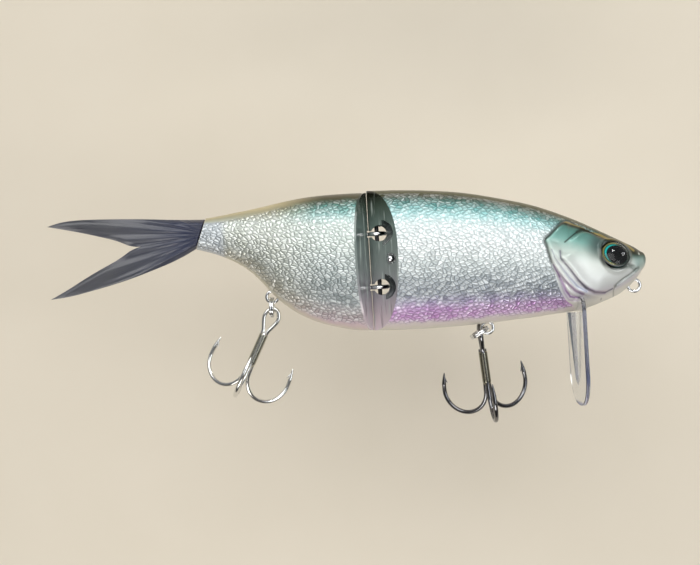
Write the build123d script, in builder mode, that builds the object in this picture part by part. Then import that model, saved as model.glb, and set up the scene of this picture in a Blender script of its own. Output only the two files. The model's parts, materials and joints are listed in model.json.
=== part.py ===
"""Two-piece hard-bodied swimbait, built as separate pieces in one frame.

Units are millimetres. The origin is the centre of the line tie ring under the chin.
+X points to the nose, +Z to the back of the fish, and Y = 0 is the plane that the
body halves are glued on. The right side of the fish is on -Y.
"""
import math
import os

from build123d import *

os.makedirs("parts", exist_ok=True)

# ---------------------------------------------------------------- driving dimensions
WALL = 1.6              # shell wall
GLUE_GAP = 0.01         # half of the glue line between the two halves

# Stations along the body: (x, back z, belly z, height of the widest point,
# half width, fullness of the upper flank, fullness of the lower flank).
FRONT_STATIONS = [
    (3.7, 8.2, 6.2, 7.2, 1.5, 1.9, 1.9),
    (1.3, 10.2, 2.5, 6.2, 3.9, 1.9, 1.9),
    (-3.0, 12.6, -1.4, 5.6, 5.9, 1.8, 1.9),
    (-8.5, 15.5, -3.8, 6.0, 7.6, 1.8, 1.9),
    (-14.1, 18.5, -5.7, 7.2, 8.8, 1.9, 2.0),
    (-19.6, 20.9, -6.5, 8.6, 9.6, 2.0, 2.1),
    (-27.0, 23.9, -7.2, 10.4, 10.3, 2.1, 2.2),
    (-36.5, 26.5, -7.9, 11.8, 10.8, 2.2, 2.25),
    (-47.8, 28.9, -8.5, 12.8, 11.0, 2.25, 2.3),
    (-57.0, 30.0, -8.75, 13.2, 10.95, 2.3, 2.3),
    (-66.0, 30.65, -8.7, 13.5, 10.8, 2.3, 2.3),
    (-74.7, 30.9, -8.4, 13.6, 10.6, 2.3, 2.3),
]
REAR_STATIONS = [
    (-75.2, 30.8, -8.35, 13.6, 10.6, 2.3, 2.3),
    (-79.0, 30.9, -8.1, 13.8, 10.5, 2.3, 2.3),
    (-84.0, 30.9, -7.1, 14.2, 10.1, 2.3, 2.3),
    (-90.0, 30.7, -5.3, 14.9, 9.3, 2.25, 2.2),
    (-96.5, 30.0, -2.0, 15.9, 8.1, 2.2, 2.1),
    (-102.4, 29.0, 3.0, 17.1, 6.8, 2.15, 2.05),
    (-107.5, 28.1, 8.9, 18.9, 5.6, 2.1, 2.0),
    (-112.4, 27.4, 12.8, 20.3, 4.6, 2.05, 2.0),
    (-118.0, 26.6, 15.6, 21.3, 3.8, 2.0, 2.0),
    (-125.5, 25.8, 18.0, 21.9, 3.3, 2.0, 2.0),
]

# Body joint: a vertical pin in the front half body, two wire eyes from the rear one.
PIN_X = -72.4
PIN_R = 0.6
PIN_TOP, PIN_BOTTOM = 28.4, -6.2
EYE_HEIGHTS = {"upper": 19.0, "lower": 3.8}
EYE_WIRE_R = 0.6
EYE_RING_R = 2.2            # centre line of the wire
APEX_HALF = 0.4             # half width of the flat along the tip of each wedge
FRONT_APEX_X, FRONT_RAKE = -74.7, 0.733
REAR_APEX_X, REAR_RAKE = -75.2, 0.362
WINDOW_X, WINDOW_R = -71.75, 2.55
RECESS_R, RECESS_FLOOR = 4.0, 3.0
SLOT_HALF = 0.95
BALL_X, BALL_Z, BALL_Y, BALL_R = -69.2, 11.65, 7.7, 1.15

# Eyes of the fish
SIGHT_CENTRE = (-6.2, 5.85, 9.1)
SIGHT_AXIS = (0.20, 0.83, 0.52)
SIGHT_R = 4.0

# Wire fittings
WIRE_R = 0.475
TIE_RING_R = 1.725
HANGER_RING_R = 1.65
FRONT_HANGER = (-42.45, -9.57)
REAR_HANGER = (-103.2, 2.8)

# Bill
BILL_X, BILL_T = -16.9, 1.15
BILL_HALF_WIDTH = 12.1
BILL_TOP, BILL_BOTTOM = -2.4, -33.3

# Tail: it turns on a bead whose axis is parallel to the slanted end of the body.
CUT_TOP, CUT_BOTTOM = (-120.8, 26.2), (-124.0, 17.5)
END_R = 3.6
BEAD_R, SOCKET_R, BEAD_HALF = 1.92, 2.0, 2.6
TAIL_GAP = 0.3
TAIL_THICKNESS = 1.3

# Hooks and split rings
HOOK_WIRE_R = 0.575
SPLIT_R = 2.65              # centre line of the coil
SPLIT_WIRE_R = 0.36
SPLIT_PITCH = 0.62


def save(part, label):
    part.label = label
    export_step(part, "parts/" + label + ".step")


# ---------------------------------------------------------------- body sections
def flank_point(station, turn, inset, side):
    """A point of the flank outline; turn runs from 0 at the back to 180 at the belly."""
    _, back, belly, widest, half, full_up, full_low = station
    up, out = math.cos(math.radians(turn)), math.sin(math.radians(turn))
    full = full_up if up >= 0 else full_low
    reach = (back - widest if up >= 0 else widest - belly) - inset
    size = (abs(up) ** full + out ** full) ** (1 / full)
    return (side * (half - inset) * out / size, widest + reach * up / size)


def flank_sketch(station, inset, side):
    """Half of a body section, closed along the glue plane."""
    points = [flank_point(station, turn, inset, side) for turn in range(0, 181, 12)]
    points[0] = (side * GLUE_GAP, points[0][1])
    points[-1] = (side * GLUE_GAP, points[-1][1])
    Spline(*points, tangents=[(side, 0), (-side, 0)])
    Line(points[-1], points[0])


def between(stations, x):
    """A station at any x, taken in a straight line between its two neighbours."""
    for front, rear in zip(stations, stations[1:]):
        if rear[0] <= x <= front[0]:
            share = (x - front[0]) / (rear[0] - front[0])
            return tuple(a + (b - a) * share for a, b in zip(front, rear))
    raise ValueError("no station there")


def cavity_stations(stations, first, last):
    inner = [s for s in stations if last < s[0] < first]
    return [between(stations, first)] + inner + [between(stations, last)]


def round_cut(start, end, radius):
    """A straight round hole between two points: its plane, radius and length."""
    path = Vector(*end) - Vector(*start)
    return (Plane(origin=start, z_dir=path), radius, path.length)


def disc_cut(x, z, radius, half_depth):
    """A round pocket on the glue plane for a wire ring."""
    return round_cut((x, half_depth, z), (x, -half_depth, z), radius)


# ---------------------------------------------------------------- placed points and directions
tie_out = Vector(-0.62, 0, 0.785).normalized()      # from the ring up into the head
TIE_ROOT = tie_out * TIE_RING_R
TIE_END = tie_out * 8.0
tail_axis = Vector(CUT_TOP[0] - CUT_BOTTOM[0], 0, CUT_TOP[1] - CUT_BOTTOM[1]).normalized()
tail_ahead = Vector(tail_axis.Z, 0, -tail_axis.X)
cut_middle = Vector((CUT_TOP[0] + CUT_BOTTOM[0]) / 2, 0, (CUT_TOP[1] + CUT_BOTTOM[1]) / 2)
tail_pivot = cut_middle + tail_ahead * END_R
# Looking down the tail's axis: local x points to the tip of the tail.
tail_plane = Plane(origin=tail_pivot, x_dir=tail_ahead * -1, z_dir=tail_axis)
HANGER_RISE = {"front": 6.5, "rear": 7.5}
HANGER_SPOT = {"front": FRONT_HANGER, "rear": REAR_HANGER}
HANGER_LEAN = {"front": Vector(0, 0, 1), "rear": Vector(0.55, 0, 0.835).normalized()}


def hanger_root(end):
    x, z = HANGER_SPOT[end]
    return Vector(x, 0, z) + HANGER_LEAN[end] * HANGER_RING_R


def hanger_top(end):
    return hanger_root(end) + HANGER_LEAN[end] * HANGER_RISE[end]


def hanger_cuts(end):
    """Seat of a hanger: the top of its ring, its stem and its buried ring."""
    x, z = HANGER_SPOT[end]
    top = hanger_top(end) + HANGER_LEAN[end] * HANGER_RING_R
    return [
        disc_cut(x, z, HANGER_RING_R + WIRE_R + 0.1, WIRE_R + 0.1),
        round_cut(hanger_root(end), hanger_top(end), WIRE_R + 0.02),
        disc_cut(top.X, top.Z, HANGER_RING_R + WIRE_R + 0.05, WIRE_R + 0.05),
    ]


# ---------------------------------------------------------------- front shells
def front_shell(side):
    with BuildPart() as shell:
        for station in FRONT_STATIONS:
            with BuildSketch(Plane.YZ.offset(station[0])):
                with BuildLine():
                    flank_sketch(station, 0, side)
                make_face()
        loft()
        # hollow chamber behind the head
        for station in cavity_stations(FRONT_STATIONS, -22.0, -63.0):
            with BuildSketch(Plane.YZ.offset(station[0])):
                with BuildLine():
                    flank_sketch(station, WALL, side)
                make_face()
        loft(mode=Mode.SUBTRACT)
        # raked wedge face at the joint
        with BuildSketch(Plane.XY.offset(-30)):
            with BuildLine():
                far = 16
                Polyline(
                    (FRONT_APEX_X - 2, side * APEX_HALF),
                    (FRONT_APEX_X, side * APEX_HALF),
                    (FRONT_APEX_X + FRONT_RAKE * (far - APEX_HALF), side * far),
                    (FRONT_APEX_X - 2, side * far),
                    close=True,
                )
            make_face()
        extrude(amount=80, mode=Mode.SUBTRACT)
        for height in EYE_HEIGHTS.values():
            # round window for the joint eye, open to the rear by a slot
            with BuildSketch(Plane(origin=(WINDOW_X, 15, height), z_dir=(0, -1, 0))):
                Circle(WINDOW_R)
            extrude(amount=30, mode=Mode.SUBTRACT)
            with BuildSketch(Plane(origin=(WINDOW_X - 2.5, 15, height), z_dir=(0, -1, 0))):
                Rectangle(5, 2 * SLOT_HALF)
            extrude(amount=30, mode=Mode.SUBTRACT)
            # shallow round recess about the window
            with BuildSketch(Plane(origin=(WINDOW_X, side * RECESS_FLOOR, height), z_dir=(0, side, 0))):
                Circle(RECESS_R)
            extrude(amount=12, mode=Mode.SUBTRACT)
        # seat of the steel ball
        with BuildSketch(Plane(origin=(BALL_X, side * (BALL_Y - BALL_R), BALL_Z), z_dir=(0, side, 0))):
            Circle(BALL_R + 0.03)
        extrude(amount=8, mode=Mode.SUBTRACT)
        with BuildSketch(Plane(origin=(BALL_X, side * (BALL_Y - 0.1), BALL_Z), z_dir=(0, side, 0))):
            Circle(BALL_R + 0.4)
        extrude(amount=8, mode=Mode.SUBTRACT)
        # bores for the pin, the line tie and the hanger
        tie_anchor = TIE_END + tie_out * TIE_RING_R
        cuts = [
            round_cut((PIN_X, 0, PIN_BOTTOM - 0.1), (PIN_X, 0, PIN_TOP + 0.1), PIN_R + 0.01),
            round_cut(tie_out * 1.0, TIE_END, WIRE_R + 0.02),
            disc_cut(0, 0, TIE_RING_R + WIRE_R + 0.1, WIRE_R + 0.1),
            disc_cut(tie_anchor.X, tie_anchor.Z, TIE_RING_R + WIRE_R + 0.05, WIRE_R + 0.05),
        ] + hanger_cuts("front")
        for plane, radius, length in cuts:
            with BuildSketch(plane):
                Circle(radius)
            extrude(amount=length, mode=Mode.SUBTRACT)
        # slot for the bill
        with BuildSketch(Plane.YZ.offset(BILL_X - BILL_T / 2 - 0.02)):
            with Locations((0, BILL_TOP + 0.02 - 10)):
                Rectangle(40, 20)
            with Locations((0, BILL_TOP + 2)):
                Rectangle(2 * 5.02, 4 - 2 * (BILL_TOP + 2) - 0.76)
        extrude(amount=BILL_T + 0.04, mode=Mode.SUBTRACT)
        # eye socket
        x, y, z = SIGHT_CENTRE
        ax, ay, az = SIGHT_AXIS
        with BuildSketch(Plane(origin=(x, side * y, z), z_dir=(ax, side * ay, az)).offset(-1.0)):
            Circle(SIGHT_R + 0.05)
        extrude(amount=7, mode=Mode.SUBTRACT)
    return shell


# ---------------------------------------------------------------- rear shells
def rear_shell(side):
    with BuildPart() as shell:
        for station in REAR_STATIONS:
            with BuildSketch(Plane.YZ.offset(station[0])):
                with BuildLine():
                    flank_sketch(station, 0, side)
                make_face()
        loft()
        for station in cavity_stations(REAR_STATIONS, -85.0, -101.0):
            with BuildSketch(Plane.YZ.offset(station[0])):
                with BuildLine():
                    flank_sketch(station, WALL, side)
                make_face()
        loft(mode=Mode.SUBTRACT)
        with BuildSketch(Plane.XY.offset(-30)):
            with BuildLine():
                far = 16
                Polyline(
                    (REAR_APEX_X + 2, side * APEX_HALF),
                    (REAR_APEX_X, side * APEX_HALF),
                    (REAR_APEX_X - REAR_RAKE * (far - APEX_HALF), side * far),
                    (REAR_APEX_X + 2, side * far),
                    close=True,
                )
            make_face()
        extrude(amount=80, mode=Mode.SUBTRACT)
        for height in EYE_HEIGHTS.values():
            # pocket round the back of the joint eye, and the bore of its shank
            with BuildSketch(Plane(origin=(PIN_X, 0, height - SLOT_HALF))):
                Circle(EYE_RING_R + EYE_WIRE_R + 0.3)
            extrude(amount=2 * SLOT_HALF, mode=Mode.SUBTRACT)
        cuts = hanger_cuts("rear")
        for height in EYE_HEIGHTS.values():
            cuts.append(round_cut((PIN_X - 2.5, 0, height), (-82.02, 0, height), EYE_WIRE_R + 0.02))
            cuts.append(round_cut((-80.98, 0, height), (-82.02, 0, height), 2 * EYE_WIRE_R + 0.02))
        for plane, radius, length in cuts:
            with BuildSketch(plane):
                Circle(radius)
            extrude(amount=length, mode=Mode.SUBTRACT)
        # rounded end of the body about the tail's axis
        with BuildSketch(tail_plane.offset(-12)):
            with Locations((10, 0)):
                Rectangle(20, 20)
            Circle(END_R, mode=Mode.SUBTRACT)
        extrude(amount=24, mode=Mode.SUBTRACT)
        # socket for the tail's bead and the flared mouth in front of its neck
        with BuildSketch(tail_plane.offset(-BEAD_HALF - 0.3)):
            Circle(SOCKET_R)
            with BuildLine():
                Polyline((0, 1.15), (0, -1.15), (5, -3.2), (5, 3.2), close=True)
            make_face()
        extrude(amount=2 * BEAD_HALF + 0.6, mode=Mode.SUBTRACT)
    return shell


for side, hand in ((-1, "right"), (1, "left")):
    save(front_shell(side).part, "front_shell_" + hand)
    # the mouth for the tail leaves a loose crumb of skin under it, which is left off
    save(max(rear_shell(side).solids(), key=lambda s: s.volume), "rear_shell_" + hand)


# ---------------------------------------------------------------- eyes of the fish
for side, hand in ((-1, "right"), (1, "left")):
    x, y, z = SIGHT_CENTRE
    ax, ay, az = SIGHT_AXIS
    seat = Plane(origin=(x, side * y, z), z_dir=(ax, side * ay, az))
    with BuildPart() as eye_disc:
        with BuildSketch(seat.offset(-0.95)):
            Circle(SIGHT_R)
        extrude(amount=0.8)
    save(eye_disc.part, "eye_disc_" + hand)
    with BuildPart() as eye_dome:
        rise = 1.9
        ball = (SIGHT_R ** 2 + rise ** 2) / (2 * rise)
        with BuildSketch(seat.offset(-0.1)):
            Circle(SIGHT_R)
        extrude(amount=4)
        with BuildPart(seat.offset(-0.1 + rise - ball), mode=Mode.INTERSECT):
            Sphere(ball)
    save(eye_dome.part, "eye_dome_" + hand)

# ---------------------------------------------------------------- joint hardware
with BuildPart() as hinge_pin:
    with BuildSketch(Plane(origin=(PIN_X, 0, PIN_BOTTOM))):
        Circle(PIN_R)
    extrude(amount=PIN_TOP - PIN_BOTTOM)
save(hinge_pin.part, "hinge_pin")

for name, height in EYE_HEIGHTS.items():
    with BuildPart() as joint_eye:
        with BuildSketch(Plane(origin=(PIN_X + EYE_RING_R, 0, height), z_dir=(0, 1, 0))):
            Circle(EYE_WIRE_R)
        revolve(axis=Axis((PIN_X, 0, height), (0, 0, 1)))
        with BuildSketch(Plane(origin=(PIN_X - EYE_RING_R, 0, height), z_dir=(-1, 0, 0))):
            Circle(EYE_WIRE_R - 0.03)
        extrude(amount=82.0 + PIN_X - EYE_RING_R)
        with BuildSketch(Plane(origin=(-81.0, 0, height), z_dir=(-1, 0, 0))):
            Circle(2 * EYE_WIRE_R)
        extrude(amount=1.0)
    save(joint_eye.part, name + "_joint_eye")

for side, hand in ((-1, "right"), (1, "left")):
    with BuildPart() as joint_ball:
        with BuildSketch(Plane(origin=(BALL_X, side * BALL_Y, BALL_Z))):
            with BuildLine():
                CenterArc((0, 0), BALL_R, -90, 180)
                Line((0, BALL_R), (0, -BALL_R))
            make_face()
        revolve(axis=Axis((BALL_X, side * BALL_Y, BALL_Z), (0, 1, 0)))
    save(joint_ball.part, "joint_ball_" + hand)


# ---------------------------------------------------------------- wire fittings
def wire_fitting(centre, lean, stem, ring_r):
    """A ring in the plane of symmetry, a stem and a second ring buried in the body."""
    with BuildPart() as fitting:
        for middle in (centre, centre + lean * (2 * ring_r + stem)):
            with BuildSketch(Plane(origin=middle + Vector(ring_r, 0, 0), z_dir=(0, 0, 1))):
                Circle(WIRE_R)
            revolve(axis=Axis(middle, (0, 1, 0)))
        with BuildSketch(Plane(origin=centre + lean * ring_r, z_dir=lean)):
            Circle(WIRE_R)
        extrude(amount=stem)
    return fitting


save(wire_fitting(Vector(0, 0, 0), tie_out, 8.0 - TIE_RING_R, TIE_RING_R).part, "line_tie")
for end in ("front", "rear"):
    x, z = HANGER_SPOT[end]
    hanger = wire_fitting(Vector(x, 0, z), HANGER_LEAN[end], HANGER_RISE[end], HANGER_RING_R)
    save(hanger.part, end + "_hook_hanger")


# ---------------------------------------------------------------- ballast
def ballast(stations, first, last, top, gap):
    """A cast weight that fills the floor of a chamber, up to a flat top."""
    with BuildPart() as weight:
        for station in cavity_stations(stations, first, last):
            with BuildSketch(Plane.YZ.offset(station[0])):
                with BuildLine():
                    for side in (-1, 1):
                        points = [flank_point(station, turn, WALL + gap, side) for turn in range(0, 181, 12)]
                        points[0], points[-1] = (0, points[0][1]), (0, points[-1][1])
                        Spline(*points, tangents=[(side, 0), (-side, 0)])
                make_face()
        loft()
        with BuildSketch(Plane.XY.offset(top)):
            with Locations(((first + last) / 2, 0)):
                Rectangle(first - last + 10, 40)
        extrude(amount=60, mode=Mode.SUBTRACT)
    return weight


save(ballast(FRONT_STATIONS, -24.0, -38.5, -3.2, 0.4).part, "front_ballast")
save(ballast(REAR_STATIONS, -86.5, -95.5, 0.8, 1.1).part, "rear_ballast")

# ---------------------------------------------------------------- bill
with BuildPart() as bill:
    with BuildSketch(Plane.YZ.offset(BILL_X - BILL_T / 2)):
        with BuildLine():
            shoulder = BILL_TOP - 3.0
            knee = BILL_BOTTOM + 9.0
            corner = BILL_HALF_WIDTH - 2.6
            Polyline((-corner, BILL_TOP), (-5.0, BILL_TOP), (-5.0, 1.5), (5.0, 1.5), (5.0, BILL_TOP),
                     (corner, BILL_TOP))
            for side in (-1, 1):
                wide = side * BILL_HALF_WIDTH
                Spline((side * corner, BILL_TOP), (wide, shoulder), tangents=[(side, 0), (0, -1)])
                Line((wide, shoulder), (wide, knee))
                Spline(
                    (wide, knee),
                    (wide * 0.71, BILL_BOTTOM + 2.9),
                    (0, BILL_BOTTOM),
                    tangents=[(0, -1), (-side, 0)],
                )
        make_face()
    extrude(amount=BILL_T)
    # tapered keel down the rear face
    rear_face = BILL_X - BILL_T / 2
    for height, depth, half in ((-7.4, 2.2, 2.1), (-27.6, 0.5, 0.5)):
        with BuildSketch(Plane(origin=(rear_face, 0, height))):
            with BuildLine():
                Polyline((0.2, -half), (0.2, half), (-depth, half * 0.3), (-depth, -half * 0.3), close=True)
            make_face()
    loft()
save(bill.part, "bill")

# ---------------------------------------------------------------- tail
with BuildPart() as tail:
    with BuildSketch(Plane(origin=(0, TAIL_THICKNESS / 2, 0), x_dir=(1, 0, 0), z_dir=(0, -1, 0))):
        with BuildLine():
            top_edge = Spline((-121.2, 26.1), (-136.7, 27.0), (-148.2, 27.7), (-159.6, 27.9), (-166.0, 26.6))
            up_low = Spline((-166.0, 26.6), (-161.5, 25.4), (-151.3, 22.8), (-144.3, 20.7), (-141.8, 19.0))
            low_up = Spline((-141.8, 19.0), (-146.0, 16.2), (-151.9, 13.4), (-160.8, 8.6), (-166.4, 5.8))
            low_edge = Spline((-166.4, 5.8), (-155.1, 7.4), (-143.5, 10.2), (-131.8, 14.1), (-124.4, 17.3))
            Line((-124.4, 17.3), (-121.2, 26.1))
        make_face()
    extrude(amount=TAIL_THICKNESS)
    # thicker root
    root_plane = Plane(origin=tail_pivot - tail_ahead * 3.0, x_dir=(0, 1, 0), z_dir=tail_ahead)
    with BuildSketch(root_plane):
        Ellipse(2.7, 4.4)
    for x, z, half, rise in ((-130.5, 20.7, 1.7, 4.9), (-139.0, 19.9, 0.8, 5.4)):
        with BuildSketch(Plane(origin=(x, 0, z), x_dir=(0, 1, 0), z_dir=(1, 0, 0))):
            Ellipse(half, rise)
    loft()
    with BuildSketch(tail_plane.offset(-12)):
        Circle(END_R + TAIL_GAP)
    extrude(amount=24, mode=Mode.SUBTRACT)
    # neck and bead
    with BuildSketch(tail_plane.offset(-BEAD_HALF)):
        with Locations((2.5, 0)):
            Rectangle(5.0, 1.5)
        Circle(BEAD_R)
    extrude(amount=2 * BEAD_HALF)
save(tail.part, "tail")


# ---------------------------------------------------------------- split rings
def split_ring(middle, normal):
    """Two turns of wire side by side."""
    with BuildPart() as ring:
        across = Plane(origin=middle, z_dir=normal)
        for shift in (-SPLIT_PITCH / 2, SPLIT_PITCH / 2):
            start = middle + normal * shift + across.x_dir * SPLIT_R
            with BuildSketch(Plane(origin=start, z_dir=normal.cross(across.x_dir))):
                Circle(SPLIT_WIRE_R)
            revolve(axis=Axis(middle, normal))
    return ring


# Each ring points away from its hanger, along "reach", and lies across the hanger's wire.
front_reach = Vector(-0.878, 0, -0.479).normalized()
rear_reach = Vector(-0.059, 0, -0.998).normalized()
front_ring_middle = Vector(-42.45, 0, -9.57) + front_reach * SPLIT_R
rear_ring_middle = Vector(-103.4, 0, 2.45) + rear_reach * SPLIT_R


def ring_normal(reach):
    return Vector(-reach.Z, 0, reach.X)


save(split_ring(front_ring_middle, ring_normal(front_reach)).part, "front_split_ring")
save(split_ring(rear_ring_middle, ring_normal(rear_reach)).part, "rear_split_ring")


# ---------------------------------------------------------------- treble hooks
EYE_HALF, EYE_DROP = 2.1, 6.2       # half width of the eye and its length, on the wire's centre line
CROWD = 0.63                        # distance of each wire from the axis of the shank
BEND_R = 6.6
BEND_CENTRE = 19.6                  # along the shank, from the top of the eye
POINT_AT = 14.0
BRAZE = (7.2, 17.5)                 # brazed stretch of the shank


def treble(top, down, across, fan):
    """top: top of the eye on the wire's centre line. down: along the shank.
    across: direction of the eye's width. fan: direction of the first hook."""
    frame = Plane(origin=top, x_dir=across, z_dir=across.cross(down * -1))
    third = down.cross(fan)
    with BuildPart() as hook:
        # eye and its two legs, in the plane of "across" and "down"
        with BuildLine(frame) as loop:
            Spline(
                (-CROWD * 0.9, -EYE_DROP - 1.2),
                (-CROWD * 1.0, -EYE_DROP),
                (-EYE_HALF, -2.6),
                (0, 0),
                (EYE_HALF, -2.6),
                (CROWD * 1.0, -EYE_DROP),
                (CROWD * 0.9, -EYE_DROP - 1.2),
                tangents=[(0, 1), (0, -1)],
            )
        with BuildSketch(Plane(origin=loop.line @ 0, z_dir=loop.line % 0)):
            Circle(HOOK_WIRE_R)
        sweep(path=loop.line)
        # brazed shank
        with BuildSketch(Plane(origin=top + down * (EYE_DROP + 0.2), z_dir=down)):
            Circle(HOOK_WIRE_R + CROWD + 0.08)
        extrude(amount=BRAZE[1] - EYE_DROP - 0.2)
        for turn in (0, 120, 240):
            out = fan * math.cos(math.radians(turn)) + third * math.sin(math.radians(turn))
            side_plane = Plane(origin=top, x_dir=out, z_dir=out.cross(down * -1))
            near, far = CROWD, CROWD + 2 * BEND_R
            with BuildLine(side_plane) as wire:
                Line((near, -BRAZE[0] - 6), (near, -BEND_CENTRE))
                CenterArc((near + BEND_R, -BEND_CENTRE), BEND_R, 180, 180)
                Line((far, -BEND_CENTRE), (far, -POINT_AT - 3.6))
            with BuildSketch(Plane(origin=wire.line @ 0, z_dir=wire.line % 0)):
                Circle(HOOK_WIRE_R)
            sweep(path=wire.line)
            tip = side_plane.from_local_coords(Vector(far, -POINT_AT, 0))
            for origin, radius in ((wire.line @ 1, HOOK_WIRE_R), (tip, 0.06)):
                with BuildSketch(Plane(origin=origin, z_dir=down * -1)):
                    Circle(radius)
            loft()
    return hook


front_down = Vector(0.098, 0.18, -0.978).normalized()
front_top = front_ring_middle + Vector(0.25, 2.70, 1.9)
front_across = (Vector(0, 1, 0) - front_down * front_down.Y).normalized()
front_fan = front_across * -1
save(treble(front_top, front_down, front_across, front_fan).part, "front_treble")

rear_down = Vector(-0.46, 0, -0.888).normalized()
rear_eye = rear_ring_middle + rear_reach * SPLIT_R
rear_across = rear_down.cross(Vector(0, -1, 0))
rear_top = rear_eye - rear_down * 2.4
save(treble(rear_top, rear_down, rear_across, Vector(0, -1, 0)).part, "rear_treble")
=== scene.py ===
import json
import math
from contextlib import contextmanager

import bmesh
import bpy
import numpy as np
from mathutils import Matrix, Vector


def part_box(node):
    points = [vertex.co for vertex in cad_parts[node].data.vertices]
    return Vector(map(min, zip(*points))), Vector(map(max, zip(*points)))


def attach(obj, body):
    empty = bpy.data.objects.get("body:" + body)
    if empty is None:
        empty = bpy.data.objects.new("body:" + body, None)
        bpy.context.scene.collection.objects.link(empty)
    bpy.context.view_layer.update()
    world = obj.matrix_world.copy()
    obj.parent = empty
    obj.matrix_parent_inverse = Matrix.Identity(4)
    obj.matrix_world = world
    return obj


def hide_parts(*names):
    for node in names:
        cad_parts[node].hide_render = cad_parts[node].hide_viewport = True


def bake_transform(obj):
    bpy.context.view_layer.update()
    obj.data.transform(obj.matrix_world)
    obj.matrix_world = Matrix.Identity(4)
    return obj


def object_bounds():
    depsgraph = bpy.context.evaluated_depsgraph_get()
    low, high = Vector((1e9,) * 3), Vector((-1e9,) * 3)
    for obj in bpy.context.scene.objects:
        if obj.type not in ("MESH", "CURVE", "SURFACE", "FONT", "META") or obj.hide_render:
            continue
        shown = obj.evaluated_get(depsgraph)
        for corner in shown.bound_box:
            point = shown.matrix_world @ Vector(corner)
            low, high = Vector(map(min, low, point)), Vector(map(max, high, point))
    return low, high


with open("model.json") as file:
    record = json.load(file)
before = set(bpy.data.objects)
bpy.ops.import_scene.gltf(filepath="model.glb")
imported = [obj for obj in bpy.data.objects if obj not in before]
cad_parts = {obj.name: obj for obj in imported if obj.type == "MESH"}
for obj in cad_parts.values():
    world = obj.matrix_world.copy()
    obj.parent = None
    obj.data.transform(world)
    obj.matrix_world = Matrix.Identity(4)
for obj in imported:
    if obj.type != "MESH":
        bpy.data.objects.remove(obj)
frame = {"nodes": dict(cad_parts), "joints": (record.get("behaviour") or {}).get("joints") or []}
cad_bounds = [list(p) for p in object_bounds()]
joints = {j["name"]: j for j in frame["joints"]}
MM = 0.001
SHARP_ANGLE = 38        # degrees: folds over this stay crisp after cutting

# ---- helpers: numbers
def spline(xs, ys, x):
    """Natural cubic through the keys (xs rising), read at x."""
    xs, ys = np.asarray(xs, float), np.asarray(ys, float)
    n, h = len(xs), np.diff(xs)
    a = np.eye(n)
    b = np.zeros(n)
    for i in range(1, n - 1):
        a[i, i - 1:i + 2] = h[i - 1], 2 * (h[i - 1] + h[i]), h[i]
        b[i] = 6 * ((ys[i + 1] - ys[i]) / h[i] - (ys[i] - ys[i - 1]) / h[i - 1])
    m = np.linalg.solve(a, b)
    x = np.clip(x, xs[0], xs[-1])
    k = np.clip(np.searchsorted(xs, x) - 1, 0, n - 2)
    t, u = x - xs[k], xs[k + 1] - x
    hk = h[k]
    return (m[k] * u ** 3 + m[k + 1] * t ** 3) / (6 * hk) + (ys[k] / hk - m[k] * hk / 6) * u + (
        ys[k + 1] / hk - m[k + 1] * hk / 6) * t


def smoothstep(a, b, x):
    """0 at a, 1 at b and smooth between them; b may be the lower one."""
    t = np.clip((x - a) / (b - a), 0, 1)
    return t * t * (3 - 2 * t)


def line_distance(points, x, z):
    """Distance from (x, z) to a polyline, signed by the side, and the share of the way along."""
    pts = np.asarray(points, float)
    best = np.full(x.shape, 1e9)
    sign = np.ones(x.shape)
    along = np.zeros(x.shape)
    lengths = np.hypot(*np.diff(pts, axis=0).T)
    run = np.concatenate([[0], np.cumsum(lengths)])
    for i in range(len(pts) - 1):
        (ax, az), (bx, bz) = pts[i], pts[i + 1]
        dx, dz = bx - ax, bz - az
        t = np.clip(((x - ax) * dx + (z - az) * dz) / (dx * dx + dz * dz), 0, 1)
        d = np.hypot(x - ax - t * dx, z - az - t * dz)
        side = np.sign(dx * (z - az) - dz * (x - ax))
        nearer = d < best
        best = np.where(nearer, d, best)
        sign = np.where(nearer, side, sign)
        along = np.where(nearer, (run[i] + t * lengths[i]) / run[-1], along)
    return best, sign, along


def rounded(points, times=2):
    """Corner cutting, so that a drawn line reads as a curve."""
    pts = np.asarray(points, float)
    for _ in range(times):
        a, b = pts[:-1] * 0.75 + pts[1:] * 0.25, pts[:-1] * 0.25 + pts[1:] * 0.75
        pts = np.concatenate([pts[:1], np.stack([a, b], 1).reshape(-1, pts.shape[1]), pts[-1:]])
    return pts


# ---- helpers: meshes
def mesh_object(name, verts, faces, smooth=True):
    """A new object with this mesh, in metres."""
    mesh = bpy.data.meshes.new(name)
    mesh.from_pydata([tuple(v) for v in verts], [], [tuple(f) for f in faces])
    mesh.validate()
    obj = bpy.data.objects.new(name, mesh)
    bpy.context.scene.collection.objects.link(obj)
    for p in mesh.polygons:
        p.use_smooth = smooth
    return obj


def grid_faces(rows, cols, start=0, wrap=False, flip=False):
    """Four-sided faces between the points of a grid stored row by row."""
    faces = []
    for i in range(rows - 1):
        for j in range(cols if wrap else cols - 1):
            k = (j + 1) % cols
            a, b = start + i * cols, start + (i + 1) * cols
            f = (a + j, a + k, b + k, b + j)
            faces.append(f[::-1] if flip else f)
    return faces


@contextmanager
def editing(obj, merge):
    """The object's mesh as a bmesh, with doubles merged first and smooth faces turned outwards last."""
    bm = bmesh.new()
    bm.from_mesh(obj.data)
    bmesh.ops.remove_doubles(bm, verts=bm.verts, dist=merge)
    yield bm
    bmesh.ops.recalc_face_normals(bm, faces=bm.faces)
    for f in bm.faces:
        f.smooth = True
    bm.to_mesh(obj.data)
    bm.free()


def tidy(obj, merge, sharp):
    """Merges doubles and keeps folds over the angle crisp."""
    with editing(obj, merge) as bm:
        bmesh.ops.dissolve_degenerate(bm, edges=bm.edges, dist=merge)
    obj.data.set_sharp_from_angle(angle=math.radians(sharp))


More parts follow.
